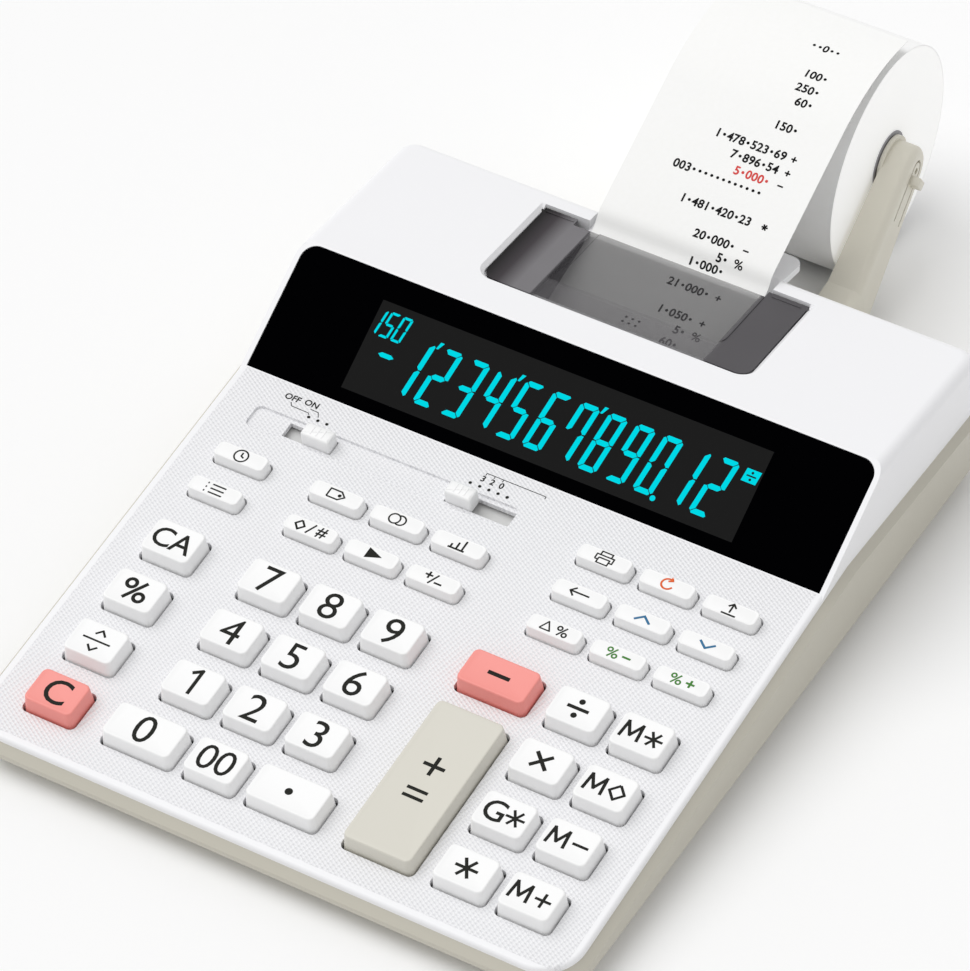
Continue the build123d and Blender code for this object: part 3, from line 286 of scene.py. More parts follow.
def bumpNode(tree, height, distance, strength=1.0):
    node = tree.nodes.new('ShaderNodeBump')
    return feed(tree, node, {'Height': height, 'Distance': distance, 'Strength': strength})


def newGroup(name, inputs, outputs):
    group = bpy.data.node_groups.new(name, 'ShaderNodeTree')
    for label, value in inputs.items():
        kind = 'NodeSocketColor' if isinstance(value, tuple) else 'NodeSocketFloat'
        group.interface.new_socket(name=label, in_out='INPUT', socket_type=kind).default_value = value
    for label, kind in outputs.items():
        group.interface.new_socket(name=label, in_out='OUTPUT', socket_type='NodeSocket' + kind)
    return group, group.nodes.new('NodeGroupInput').outputs, group.nodes.new('NodeGroupOutput')


def groupNode(tree, group, values):
    node = tree.nodes.new('ShaderNodeGroup')
    node.node_tree = group
    return feed(tree, node, values).outputs


def buildMouldedGroup():
    # Moulded plastic: faint cloudiness and a fine spark-eroded grain.
    group, given, out = newGroup(
        "mouldedPlastic",
        {"Color": (0.8, 0.8, 0.8, 1), "Variation": 0.03, "Roughness": 0.45, "Grain": 900.0, "Depth": 0.2},
        {"Color": "Color", "Roughness": "Float", "Normal": "Vector"})
    place = objectPlace(group)
    cloud = noiseNode(group, 25, 3, place)
    grain = noiseNode(group, given['Grain'], 2, place)
    shade = mathNode(group, 'MULTIPLY', mathNode(group, 'SUBTRACT', cloud, 0.5), given['Variation'])
    rough = mathNode(group, 'MULTIPLY', mathNode(group, 'SUBTRACT', grain, 0.5), 0.12)
    tint = feed(group, group.nodes.new('ShaderNodeHueSaturation'),
                {'Value': mathNode(group, 'ADD', shade, 1.0), 'Color': given['Color']})
    feed(group, out, {'Color': tint.outputs['Color'],
                      'Roughness': mathNode(group, 'ADD', rough, given['Roughness'], True),
                      'Normal': bumpNode(group, grain, 0.00006, given['Depth']).outputs['Normal']})
    return group


def buildWeaveGroup():
    # Woven emboss of the keyboard face, only between its smooth borders.
    group, given, out = newGroup(
        "faceWeave", {"Pitch": 0.0013, "Front": 0.0, "Rear": 1.0, "Half Width": 0.1}, {"Height": "Float"})

    def do(operation, first, second=0.0):
        return mathNode(group, operation, first, second)

    x, y, z = splitPlace(group, objectPlace(group))
    turn = do('DIVIDE', 2 * math.pi, given['Pitch'])
    along = do('MULTIPLY', do('ADD', x, do('MULTIPLY', y, 0.55)), turn)
    across = do('MULTIPLY', do('SUBTRACT', y, do('MULTIPLY', x, 0.15)), do('MULTIPLY', turn, 0.9))
    waves = do('MULTIPLY', do('SINE', along), do('SINE', across))
    inside = do('MULTIPLY', do('GREATER_THAN', y, given['Front']), do('LESS_THAN', y, given['Rear']))
    inside = do('MULTIPLY', inside, do('LESS_THAN', do('ABSOLUTE', x), given['Half Width']))
    feed(group, out, {'Height': do('MULTIPLY', waves, inside)})
    return group


mouldedGroup = buildMouldedGroup()
weaveGroup = buildWeaveGroup()


def newFinish(name):
    finish = bpy.data.materials.new(name)
    finish.use_nodes = True
    return finish, finish.node_tree, finish.node_tree.nodes['Principled BSDF']


def plastic(name, code, roughness=0.42, grain=900.0, depth=0.2, variation=0.03, shine=0.5):
    finish, tree, shader = newFinish(name)
    moulded = groupNode(tree, mouldedGroup, {"Color": linear(code), "Variation": variation,
                                             "Roughness": roughness, "Grain": grain, "Depth": depth})
    feed(tree, shader, {'Base Color': moulded['Color'], 'Roughness': moulded['Roughness'],
                        'Normal': moulded['Normal'], 'Specular IOR Level': shine})
    return finish


def tintedFinish(finish, amount, code):
    # Multiplies a finish's colour by another colour, as far as amount says.
    tree = finish.node_tree
    color = tree.nodes['Principled BSDF'].inputs['Base Color']
    tree.links.new(mixNode(tree, amount, color.links[0].from_socket, linear(code), 'MULTIPLY'), color)


def caseWhiteFinish(look):
    finish = plastic("caseWhite", look["color"], look["roughness"], depth=0.1, variation=0.015)
    tree = finish.node_tree
    normal = tree.nodes['Principled BSDF'].inputs['Normal']
    weave = groupNode(tree, weaveGroup, {'Pitch': look["weavePitch"], 'Front': faceY + look["smoothBorder"],
                                         'Rear': faceEnd.y - look["rearBorder"],
                                         'Half Width': look["halfWidth"] - look["smoothBorder"]})['Height']
    bump = bumpNode(tree, weave, look["weaveDepth"])
    tree.links.new(normal.links[0].from_socket, bump.inputs['Normal'])
    tree.links.new(bump.outputs['Normal'], normal)
    # painted shade: the weave's valleys are darkened towards a grey, as if shade fell in them
    tintedFinish(finish, mathNode(tree, 'MULTIPLY', weave, -1.0, True), look["paintedValleyShade"])
    return finish


def smokeAndShadeFinish(look):
    # Smoked plastic, clear enough over the tape to read it. Beside the tape its colour is painted shade of
    # the well's inside seen through it, nearly black at the left.
    finish, tree, shader = newFinish("coverSmokeAndShade")
    place = objectPlace(tree)
    x, y, z = splitPlace(tree, place)
    across = mathNode(tree, 'ADD', mathNode(tree, 'DIVIDE', x, look["width"]), 0.5)
    # the ramps below paint shade into the colour: nearly black at the left, dark grey and nearly opaque
    # beside the clear band
    ramps = []
    greys = [(value, value, value, 1) for value in look["cover"]]
    for values in ([linear(code) for code in look["smokeAndShadeColors"]], greys):
        ramp = tree.nodes.new('ShaderNodeValToRGB')
        bands = ramp.color_ramp.elements
        while len(bands) < len(values):
            bands.new(0.5)
        for band, at, value in zip(bands, look["places"], values):
            band.position = at / look["width"] + 0.5
            band.color = value
        ramps.append(feed(tree, ramp, {'Fac': across}).outputs['Color'])
    color, cover = ramps
    # a strip of painted shade along the front of the clear band, darker and less clear, for the well's
    # inside seen through the cover there
    clear = mathNode(tree, 'MULTIPLY', mathNode(tree, 'SUBTRACT', look["dense"], cover),
                     1 / (look["dense"] - look["clear"]), True)
    shadeStrip = mathNode(tree, 'MULTIPLY', clear, mathNode(tree, 'LESS_THAN', y, look["shadeStripEnd"]))
    shadeStripAlpha = mathNode(tree, 'MULTIPLY', shadeStrip, look["shadeStripCover"] - look["clear"])
    feed(tree, shader, {'Base Color': mixNode(tree, shadeStrip, color, linear(look["shadeStripColor"])),
                        'Alpha': mathNode(tree, 'ADD', cover, shadeStripAlpha), 'Roughness': look["roughness"],
                        'Specular IOR Level': look["shine"]})
    tintedFinish(finish, noiseNode(tree, 60, place=place), "F0F0F0")
    return finish


def paperFinish(name, code):
    finish, tree, shader = newFinish(name)
    fibre = noiseNode(tree, 700, 4)
    feed(tree, shader, {'Base Color': mixNode(tree, fibre, linear(code), linear("FBFBFA"), 'MULTIPLY'),
                        'Normal': bumpNode(tree, fibre, 0.00003, 0.3).outputs['Normal'], 'Roughness': 0.75})
    return finish


def rollFinish(look):
    # Paper with the edges of its turns as rings on the roll's ends, and painted light there: the ends glow a
    # little to look brighter.
    finish = paperFinish("rollPaper", look["color"])
    tree = finish.node_tree
    shader = tree.nodes['Principled BSDF']
    x, y, z = splitPlace(tree, mappedPlace(tree, 'Location', (0, -look["y"], -look["z"])))
    radius = mathNode(tree, 'SQRT', mathNode(tree, 'ADD', mathNode(tree, 'POWER', y, 2.0),
                                             mathNode(tree, 'POWER', z, 2.0)))
    layers = tree.nodes.new('ShaderNodeTexNoise')
    layers.noise_dimensions = '1D'
    feed(tree, layers, {'Detail': 5, 'W': mathNode(tree, 'MULTIPLY', radius, look["layers"])})
    onEnd = mathNode(tree, 'LESS_THAN', radius, look["endRadius"])
    tintedFinish(finish, mathNode(tree, 'MULTIPLY', layers.outputs['Fac'], onEnd), look["edge"])
    # painted light: the roll's ends glow with their own colour
    glow = mathNode(tree, 'MULTIPLY', onEnd, look["glow"])
    feed(tree, shader, {'Emission Color': linear(look["color"]), 'Emission Strength': glow})
    return finish


def litFinish(name, code, strength):
    finish, tree, shader = newFinish(name)
    glow = mixNode(tree, noiseNode(tree, 120), linear(code), dimmed(code, 0.94))
    feed(tree, shader, {'Emission Color': glow, 'Emission Strength': strength,
                        'Base Color': (0.0, 0.01, 0.01, 1), 'Specular IOR Level': 0})
    return finish


def metalFinish(name, code, roughness=0.35):
    finish, tree, shader = newFinish(name)
    brushed = noiseNode(tree, 1.0, 3, mappedPlace(tree, 'Scale', (3000, 120, 120)))
    rough = mathNode(tree, 'ADD', mathNode(tree, 'MULTIPLY', brushed, 0.25), roughness - 0.12)
    feed(tree, shader, {'Base Color': mixNode(tree, brushed, linear(code), dimmed(code, 0.8)),
                        'Roughness': rough, 'Metallic': 1.0})
    return finish


def ink(name, code, roughness=0.5, shine=0.5):
    return plastic(name, code, roughness, depth=0.05, shine=shine)


# the valley colour below is painted shade in the weave's valleys
caseWhite = caseWhiteFinish(dict(
    color="F5F5F7", paintedValleyShade="F0F0F2", roughness=0.4, weavePitch=0.0017, weaveDepth=0.00014, halfWidth=0.0953,
    smoothBorder=0.0022, rearBorder=0.0004))
baseBeige = plastic("baseBeige", "C6C2B5", 0.45)
armBeige = plastic("armBeige", "DFDBCD", 0.42)
keyWhite = plastic("keyWhite", "F9F9F9", 0.38, depth=0.08, variation=0.01)
keyPink = plastic("keyPink", "F7968E", 0.38, depth=0.08, variation=0.02)
keyBeige = plastic("keyBeige", "D8D5CA", 0.4, depth=0.08, variation=0.02)
windowBlack = plastic("windowBlack", "020203", 0.35, grain=200, depth=0.02, variation=0.0, shine=0.0)
panelDark = plastic("panelDark", "1F1F1F", 0.4, grain=400, depth=0.05, variation=0.05, shine=0.0)
digitCyan = litFinish("digitCyan", "00E2F0", 0.92)
# the darker colours and their alphas here are painted shade of the well seen through the cover
coverSmokeAndShade = smokeAndShadeFinish(dict(
    width=0.0872, places=(-0.0430, -0.0385, -0.0330, -0.0274, -0.0270, 0.0294, 0.0298),
    smokeAndShadeColors=("121011", "3F3A3E", "807E81", "807E81", "4A484B", "4A484B", "59575A"),
    cover=(0.97, 0.95, 0.95, 0.95, 0.34, 0.34, 0.95), dense=0.95, clear=0.34, shadeStripEnd=frontY + 0.2053,
    shadeStripColor="656366", shadeStripCover=0.46, roughness=0.35, shine=0.25))
tapePaper = paperFinish("tapePaper", "FDFDFC")
rollPaper = rollFinish(dict(color="FDFDFD", edge="F2F2F0", glow=0.24, layers=9000, endRadius=0.0358,
                            y=frontY + paper["rollBack"] * mm, z=paper["rollHeight"] * mm))
inkDark = ink("inkDark", "191A15", shine=0.15)
inkBlack = ink("inkBlack", "0A0A0B", 0.6, 0.1)
inkRed = ink("inkRed", "D6302A", 0.6)
inkGreen = ink("inkGreen", "2E7D00")
inkOrange = ink("inkOrange", "E55B00")
inkBlue = ink("inkBlue", "0B6A98")
rubberBlack = plastic("rubberBlack", "1B1B1C", 0.8, grain=1400, depth=0.5, variation=0.1)
rubberGrey = plastic("rubberGrey", "A8A8A7", 0.75, grain=1200, depth=0.4)
boardGreen = plastic("boardGreen", "2A5A38", 0.4, depth=0.1, variation=0.1)
# painted shade: a dark colour for the well's inside and the cover's recessed dots
paintedShadeDark = plastic("paintedShadeDark", "2A282B", 0.55)
guideGrey = plastic("guideGrey", "8C8A8D", 0.5)
coreGrey = plastic("coreGrey", "939296", 0.5)
slotGrey = plastic("slotGrey", "D2D2D1", 0.5)
steel = metalFinish("steel", "B5B6B8")
brass = metalFinish("brassPin", "C9A55A", 0.3)

cadFinish = dict(
    top_case=caseWhite, bottom_case=baseBeige, display_window=windowBlack, lcd_module=panelDark,
    printer_cover=coverSmokeAndShade, roll_arms=armBeige, paper_roll=rollPaper, key_membrane=rubberGrey,
    circuit_board=boardGreen, printer_frame=steel, platen_roller=rubberBlack, ink_roller=rubberBlack,
    battery_door=baseBeige, rubber_feet=rubberBlack)
for node, finish in cadFinish.items():
    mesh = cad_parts[node].data
    mesh.materials.clear()
    mesh.materials.append(finish)
print("materials on the", len(cadFinish), "carried-over nodes")

# ---- stage, lights and camera ----
studio = dict(floor="FCFCFC", floorShade="FAFAFA", world=0.605, key=1.38, keyAngle=55, turn=(2, 26))


def buildStudio(look):
    deselectAll()
    bpy.ops.mesh.primitive_plane_add(size=6)
    floor = bpy.context.object
    floor.name = "floor"
    finish, tree, shader = newFinish("floorPale")
    color = mixNode(tree, noiseNode(tree, 3), linear(look["floor"]), linear(look["floorShade"]))
    feed(tree, shader, {'Base Color': color, 'Roughness': 0.9, 'Specular IOR Level': 0.1})
    floor.data.materials.append(finish)
    world = bpy.data.worlds.new("softRoom")
    bpy.context.scene.world = world
    world.use_nodes = True
    tree = world.node_tree
    feed(tree, tree.nodes['Background'], {'Color': (1, 1, 1, 1), 'Strength': look["world"]})
    deselectAll()
    bpy.ops.object.light_add(type='SUN', location=(0, 0, 2))
    sun = bpy.context.object
    sun.name = "softKey"
    sun.data.energy, sun.data.angle = look["key"], math.radians(look["keyAngle"])
    sun.rotation_euler = (math.radians(look["turn"][0]), math.radians(-look["turn"][1]), 0)


def buildCamera():
    lens = dict(x=0.5921, back=-0.8475, z=1.1565, azimuth=31.35, elevation=44.32, roll=-1.19, focal=212.03)
    a, e, r = (math.radians(lens[k]) for k in ("azimuth", "elevation", "roll"))
    back = Vector((math.sin(a) * math.cos(e), -math.cos(a) * math.cos(e), math.sin(e)))
    right = Vector((math.cos(a), math.sin(a), 0))
    up = back.cross(right)
    right, up = right * math.cos(r) + up * math.sin(r), up * math.cos(r) - right * math.sin(r)
    data = bpy.data.cameras.new("studioCamera")
    data.sensor_fit, data.sensor_width, data.lens = 'HORIZONTAL', 36.0, lens["focal"]
    data.clip_start, data.clip_end = 0.05, 20
    camera = newObject("studioCamera", data)
    place = Matrix((right, up, back)).transposed().to_4x4()
    place.translation = (lens["x"], frontY + lens["back"], lens["z"])
    camera.matrix_world = place
    bpy.context.scene.camera = camera


bpy.context.scene.view_settings.view_transform = 'Standard'
buildStudio(studio)
buildCamera()
print("studio and camera set")

# ---- keys ----
lay = dict(pitch=20.05, smallPitch=14.0, firstRow=17.5, smallFirstRow=99.7, left=-75.0,
           digits=-23.1, right=56.0, add=31.0, wide=23.8, addWide=23.2, width=17.5, length=13.8,
           smallWidth=17.9, smallLength=6.9)
capShape = dict(gap=0.45, taper=0.6, corner=2.0, topRound=0.5, rise=5.0, smallRise=3.6, sink=2.2, dish=0.1)


def capBlank(width, length, rise, look):
    # One keycap in millimetres, its hole's centre at the origin, scaled to metres at the end.
    w, l = width - 2 * look["gap"], length - 2 * look["gap"]
    cap = box(w, l, rise + look["sink"], z=-look["sink"])
    setMode('EDIT')
    pick('edges', lambda e: abs(e.verts[0].co.z - e.verts[1].co.z) > 1)
    bevelEdges(look["corner"], 6)
    pick('faces', lambda f: f.normal.z > 0.9)
    bpy.ops.transform.resize(value=(1 - 2 * look["taper"] / w, 1 - 2 * look["taper"] / l, 1))
    pick('edges', lambda e: edgeMiddle(e).z > rise - 0.01)
    bevelEdges(look["topRound"], 4, 0.55)
    pick('faces', lambda f: f.normal.z > 0.99 and f.calc_center_median().z > rise - 0.01)
    for n in range(2):
        bpy.ops.mesh.extrude_region()
        bpy.ops.transform.resize(value=(0.95, 0.95, 1), center_override=(0, 0, rise))
        bpy.ops.transform.translate(value=(0, 0, -look["dish"] / 2))
    bpy.ops.mesh.select_all(action='SELECT')
    bpy.ops.mesh.remove_doubles(threshold=0.001)
    bpy.ops.mesh.normals_make_consistent()
    setMode('OBJECT')
    cap.data.transform(Matrix.Scale(mm, 4))
    smooth(cap, 50)
    return cap


def onFace(x, up, lift=0.0):
    return facePlane @ Matrix.Translation((x * mm, up * mm, lift * mm))


rows = [lay["firstRow"] + n * lay["pitch"] for n in range(4)]
smallRows = [lay["smallFirstRow"] + n * lay["smallPitch"] for n in range(3)]
leftXs = [lay["left"]]
addXs = [lay["add"]]
digitXs = [lay["digits"] + n * lay["pitch"] for n in (-1, 0, 1)]
rightXs = [lay["right"] + n * lay["pitch"] for n in (-1, 0, 1)]
wideShift = (lay["wide"] - lay["width"]) / 2
finishOf = dict(clear=keyPink, minus=keyPink, plus_equals=keyBeige)
keys = {}


def keyBlock(kind, xs, heights, *names):
    # Keys of one kind, row by row from the front, each row's names from left to right.
    for up, row in zip(heights, names):
        for x, name in zip(xs, row.split()):
            keys[name] = (x, up, kind, finishOf.get(name, keyWhite))


keyBlock("big", digitXs, rows[1:], "1 2 3", "4 5 6", "7 8 9")
keyBlock("wide", [digitXs[0] - wideShift], rows, "0")
keyBlock("big", [digitXs[1]], rows, "00")
keyBlock("wide", [digitXs[2] + wideShift], rows, "point")
keyBlock("big", leftXs, rows, "clear", "markup", "percent", "clear_all")
keyBlock("big", [rightXs[1]], rows, "total", "grand_total", "multiply", "divide")
keyBlock("big", [rightXs[2]], rows, "memory_plus", "memory_minus", "memory_subtotal", "memory_total")
keyBlock("tall", addXs, rows[1:], "plus_equals")
keyBlock("minus", addXs, rows[3:], "minus")
keyBlock("small", leftXs, smallRows, "item_count", "time")
keyBlock("small", digitXs, smallRows, "subtotal shift_right sign", "cost sell margin")
keyBlock("small", rightXs, smallRows, "delta_percent tax_minus tax_plus", "correct step_up step_down",
         "print reprint feed")

capSizes = dict(big=(lay["width"], lay["length"]), wide=(lay["wide"], lay["length"]),
                minus=(lay["addWide"], lay["length"]),
                tall=(lay["addWide"], 2 * lay["pitch"] + lay["length"]))
blanks = {kind: capBlank(*size, capShape["rise"], capShape) for kind, size in capSizes.items()}
blanks["small"] = capBlank(lay["smallWidth"], lay["smallLength"], capShape["smallRise"],
                           dict(capShape, gap=0.35, taper=0.45, topRound=0.35, corner=1.7))
for name, (x, up, kind, finish) in keys.items():
    cap = newObject("cap", blanks[kind].data.copy())
    cap.data.transform(onFace(x, up))
    give(cap, "cap_" + name, finish, "key_" + name)
    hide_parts("key_" + name)
for blank in blanks.values():
    bpy.data.objects.remove(blank)
print("keycaps made:", len(keys))

# ---- legends ----
legendStyle = dict(digit=-0.00002, letter=0.00007, lift=0.03)


def printed(name, *parts, ink=inkDark):
    # Marks on a key, each by itself or with how far right of and above the key's middle it stands.
    x, up, kind, finish = keys[name]
    top = capShape["smallRise" if kind == "small" else "rise"] - capShape["dish"]
    marks = []
    for part in parts:
        mark, right, higher = part if isinstance(part, tuple) else (part, 0, 0)
        mark.data.transform(onFace(x + right, up + higher, top + legendStyle["lift"]))
        marks.append(mark)
    give(joinAll(marks), "legend_" + name, ink, "key_" + name)


def keyWords(text, size, style="letter", spread=1.0):
    return words(text, size * mm, legendStyle[style], spread)


def spokes(turns, r, width):
    # Lines through the origin, turned by these degrees.
    ends = [(r * math.cos(math.radians(turn)), r * math.sin(math.radians(turn))) for turn in turns]
    return strokes([[(-x, -y), (x, y)] for x, y in ends], width)


minus, plus, times, star = (0,), (0, 90), (45, -45), (0, 60, 120)


def diamondMark(r, width):
    return strokes([[(0, r * 1.1), (r, 0), (0, -r * 1.1), (-r, 0), (0, r * 1.1)]], width)


def percentMark(scale, width):
    slash = [(2.2 * n / 4, 3.6 * n / 4) for n in range(-4, 5)]
    lines = [ring(-2.2, 1.9, 1.45), ring(2.2, -1.9, 1.45), slash]
    return strokes([[(x * scale, y * scale) for x, y in line] for line in lines], width)


def memoryKey(name, left, sign, right):
    letter = strokes([[(-2.7, -2.8), (-2.2, 2.8), (0, -1.4), (2.2, 2.8), (2.7, -2.8)]], 0.95)
    printed("memory_" + name, (letter, left, 0), (sign, right, 0))


def chevron(half, rise, width, low=0.0):
    return strokes([[(-half, low), (0, low + rise), (half, low)]], width)


def smallSlash():
    return strokes([[(-0.9, -1.9), (0.9, 1.9)]], 0.55)


def dot(radius, steps=32):
    return disc(radius * mm, 0.03 * mm, steps)


def triangle(size):
    deselectAll()
    bpy.ops.mesh.primitive_cylinder_add(vertices=3, radius=size * mm, depth=0.03 * mm)
    piece = bpy.context.object
    piece.data.transform(Matrix.Rotation(math.radians(-90), 4, 'Z') @ Matrix.Diagonal((0.8, 1.15, 1, 1)))
    return piece


for digit in "023456789":
    printed(digit, keyWords(digit, 13.2, "digit"))
printed("1", strokes([[(-1.9, 2.6), (0.6, 4.3), (0.6, -4.3)]], 1.1))
printed("00", keyWords("00", 12.0, "digit", 0.95))
printed("point", dot(1.15))
printed("clear", keyWords("C", 11.8))
printed("clear_all", keyWords("CA", 9.6, spread=0.95))
printed("percent", percentMark(1, 1.1))
printed("total", spokes(star, 3.45, 0.95))
printed("grand_total", (keyWords("G", 9.8), -2.9, 0), (spokes(star, 2.875, 0.8), 3.4, 0))
printed("multiply", spokes(times, 2.5 * math.sqrt(2), 1.15))
printed("divide", spokes(minus, 3.3, 1.1), (dot(0.9), 0, 2.5), (dot(0.9), 0, -2.5))
memoryKey("total", -3.2, spokes(star, 2.76, 0.8), 3.5)
memoryKey("subtotal", -3.2, diamondMark(2.3, 0.8), 3.4)
memoryKey("minus", -3.3, spokes(minus, 2.4, 0.85), 3.5)
memoryKey("plus", -3.3, spokes(plus, 2.4, 0.85), 3.5)
printed("minus", spokes(minus, 3.4, 1.3))
printed("plus_equals", (spokes(plus, 3.3, 1.15), 0, 5.2), (spokes(minus, 3.2, 1.05), 0, -3.7),
        (spokes(minus, 3.2, 1.05), 0, -6.4))
printed("markup", spokes(minus, 4.4, 0.6), (chevron(1.6, 1.7, 0.65), 0, 2.0),
        (chevron(1.6, -1.7, 0.65), 0, -2.0))
# small keys: plain signs
printed("time", strokes([ring(0, 0, 2.1), [(0, 1.3), (0, 0), (1.0, -0.5)]], 0.5))
printed("item_count", *[(strokes([[(-half, y), (half, y)] for y in (-1.5, 0, 1.5)], width), x, 0)
                        for half, width, x in ((2.2, 0.5, 0.6), (0.2, 0.6, -3.0))])
printed("cost", strokes([[(-2.6, -1.5), (1.0, -1.5), (2.6, 0), (1.0, 1.5), (-2.6, 1.5), (-2.6, -1.5)],
                         ring(1.0, 0, 0.3, steps=10)], 0.5))
printed("sell", strokes([ring(-0.9, 0, 1.7), ring(0.9, 0, 1.7, -115, 115)], 0.5))
printed("margin", strokes([[(-2.6, -1.8), (2.6, -1.8)]]
                          + [[(x, -1.6), (x, y)] for x, y in ((-1.8, -0.4), (0, 0.7), (1.8, 1.9))], 0.6))
printed("subtotal", (diamondMark(1.5, 0.6), -3.6, 0), smallSlash(), (keyWords("#", 5.2), 3.5, 0))
printed("sign", (spokes(plus, 1.2, 0.6), -1.8, 0.9), smallSlash(), (spokes(minus, 1.2, 0.6), 1.9, -1.0))
printed("shift_right", triangle(2.8))
printed("print", strokes([[(-2.7, -1.0), (-2.7, 0.8), (2.7, 0.8), (2.7, -1.0), (1.7, -1.0)],
                          [(-2.7, -1.0), (-1.7, -1.0)],
                          [(-1.7, -0.2), (-1.7, -2.1), (1.7, -2.1), (1.7, -0.2), (-1.7, -0.2)],
                          [(-1.7, 0.8), (-1.7, 2.1), (1.7, 2.1), (1.7, 0.8)]], 0.45))
printed("reprint", strokes([ring(0, 0, 1.8, 60, 340), [(0.3, 2.6), (0.95, 1.5), (-0.25, 0.9)]], 0.6),
        ink=inkOrange)
printed("feed", strokes([[(-2.2, -1.9), (2.2, -1.9)], [(0, -1.2), (0, 2.0)],
                         [(-1.2, 0.8), (0, 2.0), (1.2, 0.8)]], 0.55))
printed("correct", strokes([[(3.0, 0), (-3.0, 0)], [(-1.5, 1.5), (-3.0, 0), (-1.5, -1.5)]], 0.55))
printed("step_up", chevron(2.4, 2.0, 0.7, -0.9), ink=inkBlue)
printed("step_down", chevron(2.4, -2.0, 0.7, 0.9), ink=inkBlue)
printed("delta_percent", (strokes([[(-1.6, -1.4), (0, 1.6), (1.6, -1.4), (-1.6, -1.4)]], 0.45), -2.6, 0),
        (percentMark(0.46, 0.5), 2.3, 0))
for name, turns in (("tax_minus", minus), ("tax_plus", plus)):
    printed(name, (percentMark(0.46, 0.5), -1.8, 0), (spokes(turns, 1.3, 0.65), 2.6, 0), ink=inkGreen)
print("legends printed")

# ---- slide switches and their marks ----
switchMarks = dict(left=(-67.2, -64.1, -61.1), leftRow=137.2, right=(-13.3, -10.2, -7.2, -4.2, -1.2),
                   row=137.0, dot=0.5, channel=130.9, words=2.9)
knobShape = dict(length=4.9, height=5.3, sink=1.5, corner=0.6, topRound=0.7, rib=(0.45, 3.2, 0.25),
                 ribFoot=3.7)


def knob(x, width, node, body, look):
    block = box(*metres((width, look["length"], look["height"])), z=-look["sink"] * mm)
    setMode('EDIT')
    pick('edges', lambda e: abs(e.verts[0].co.z - e.verts[1].co.z) > 0.001)
    bevelEdges(look["corner"] * mm, 3)
    pick('edges', lambda e: edgeMiddle(e).z > (look["height"] - look["sink"] - 0.01) * mm)
    bevelEdges(look["topRound"] * mm, 3)
    setMode('OBJECT')
    ribs = [box(*metres(look["rib"] + (n * width / 5, 0, look["ribFoot"]))) for n in (-1, 0, 1)]
    block = joinAll([block] + [bevelled(rib, 0.1 * mm) for rib in ribs])
    smooth(block, 45)
    block.data.transform(onFace(x, switchMarks["channel"]))
    give(block, "knob_" + body, keyWhite, body)
    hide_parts(node)


knob(-59.8, 9.4, "switch_knob_left", "mode_switch", knobShape)
knob(-12.5, 8.6, "switch_knob_right", "point_switch", knobShape)


def faceMark(piece, name, x=0, up=0):
    piece.data.transform(onFace(x, up, 0.03))
    give(piece, name, inkDark, "body")


def faceWords(text, name, x, up):
    faceMark(words(text, switchMarks["words"] * mm, 0.00006), name, x, up)


dotPlaces = [(x, switchMarks["leftRow"]) for x in switchMarks["left"]]
dotPlaces += [(x, switchMarks["row"]) for x in switchMarks["right"]]
for n, (x, up) in enumerate(dotPlaces):
    faceMark(dot(switchMarks["dot"], 16), "switchDot%d" % n, x, up)
faceWords("OFF", "offWord", -75.0, 141.4)
faceWords("ON", "onWord", -68.9, 141.8)
for x, number in zip(switchMarks["right"][1:4], "320"):
    faceWords(number, "placeNumber" + number, x - 0.5, 139.9)
faceMark(strokes([[(-10.7, 141.2), (-10.7, 142.1), (8.6, 142.1), (8.6, 141.2)]]
                 + [[(x, 141.2), (x, 142.1)] for x in (-8.0, -5.2)], 0.24), "switchLinesRight")
faceMark(strokes([[(-74.7, 139.8), (-73.9, 138.6), (-68.2, 138.5), (-67.5, 137.9)],
                  [(-68.3, 140.0), (-65.6, 139.85), (-64.65, 138.3)]], 0.24), "switchLinesLeft")
lowPlate = box(*metres((94, 9.5, 0.2)))
lowPlate.data.transform(onFace(-36.5, switchMarks["channel"], -3.55))
give(lowPlate, "switchPlate", slotGrey, "body")
print("switches made")

# ---- display ----
displayLook = dict(area=(127.8, 28.4), centre=18.6, first=-48.7, pitch=9.01, low=8.0, high=26.3, width=6.2,
                   stroke=1.6, lean=0.131, corner=1.1, gap=0.13)
smallDigits = dict(displayLook, first=-64.9, pitch=4.1, low=22.3, high=30.4, width=3.3, stroke=0.75,
                   corner=0.5, gap=0.08)


def plate(points):
    deselectAll()
    bpy.ops.mesh.primitive_circle_add(vertices=len(points), radius=1, fill_type='NGON')
    for vertex, (x, y) in zip(bpy.context.object.data.vertices, points):
        vertex.co = (x, y, 0)
    return bpy.context.object


def barOutlines(look):
    # The seven bars of a digit with mitred ends, from its lower left corner.
    width, t, c, g = (look[k] for k in ("width", "stroke", "corner", "gap"))
    height = look["high"] - look["low"]
    mid = height / 2
    top = [(c / 2 + g, height - c / 2 + g / 2), (c, height), (width - c, height),
           (width - c / 2 - g, height - c / 2 + g / 2), (width - t - g, height - t), (t + g, height - t)]
    left = [(0, height - c), (c / 2 - g / 2, height - c / 2 - g), (t, height - t - g), (t, mid + t / 2 + g),
            (t / 2, mid + g), (0, mid + 2 * g)]
    middle = [(t / 2 + g, mid), (t + g, mid + t / 2), (width - t - g, mid + t / 2),
              (width - t / 2 - g, mid), (width - t - g, mid - t / 2), (t + g, mid - t / 2)]

    def flip(points, across, over):
        moved = [(width - x if across else x, height - y if over else y) for x, y in points]
        return moved[::-1] if across != over else moved

    return dict(a=top, d=flip(top, False, True), g=middle, f=left, b=flip(left, True, False),
                e=flip(left, False, True), c=flip(left, True, True))


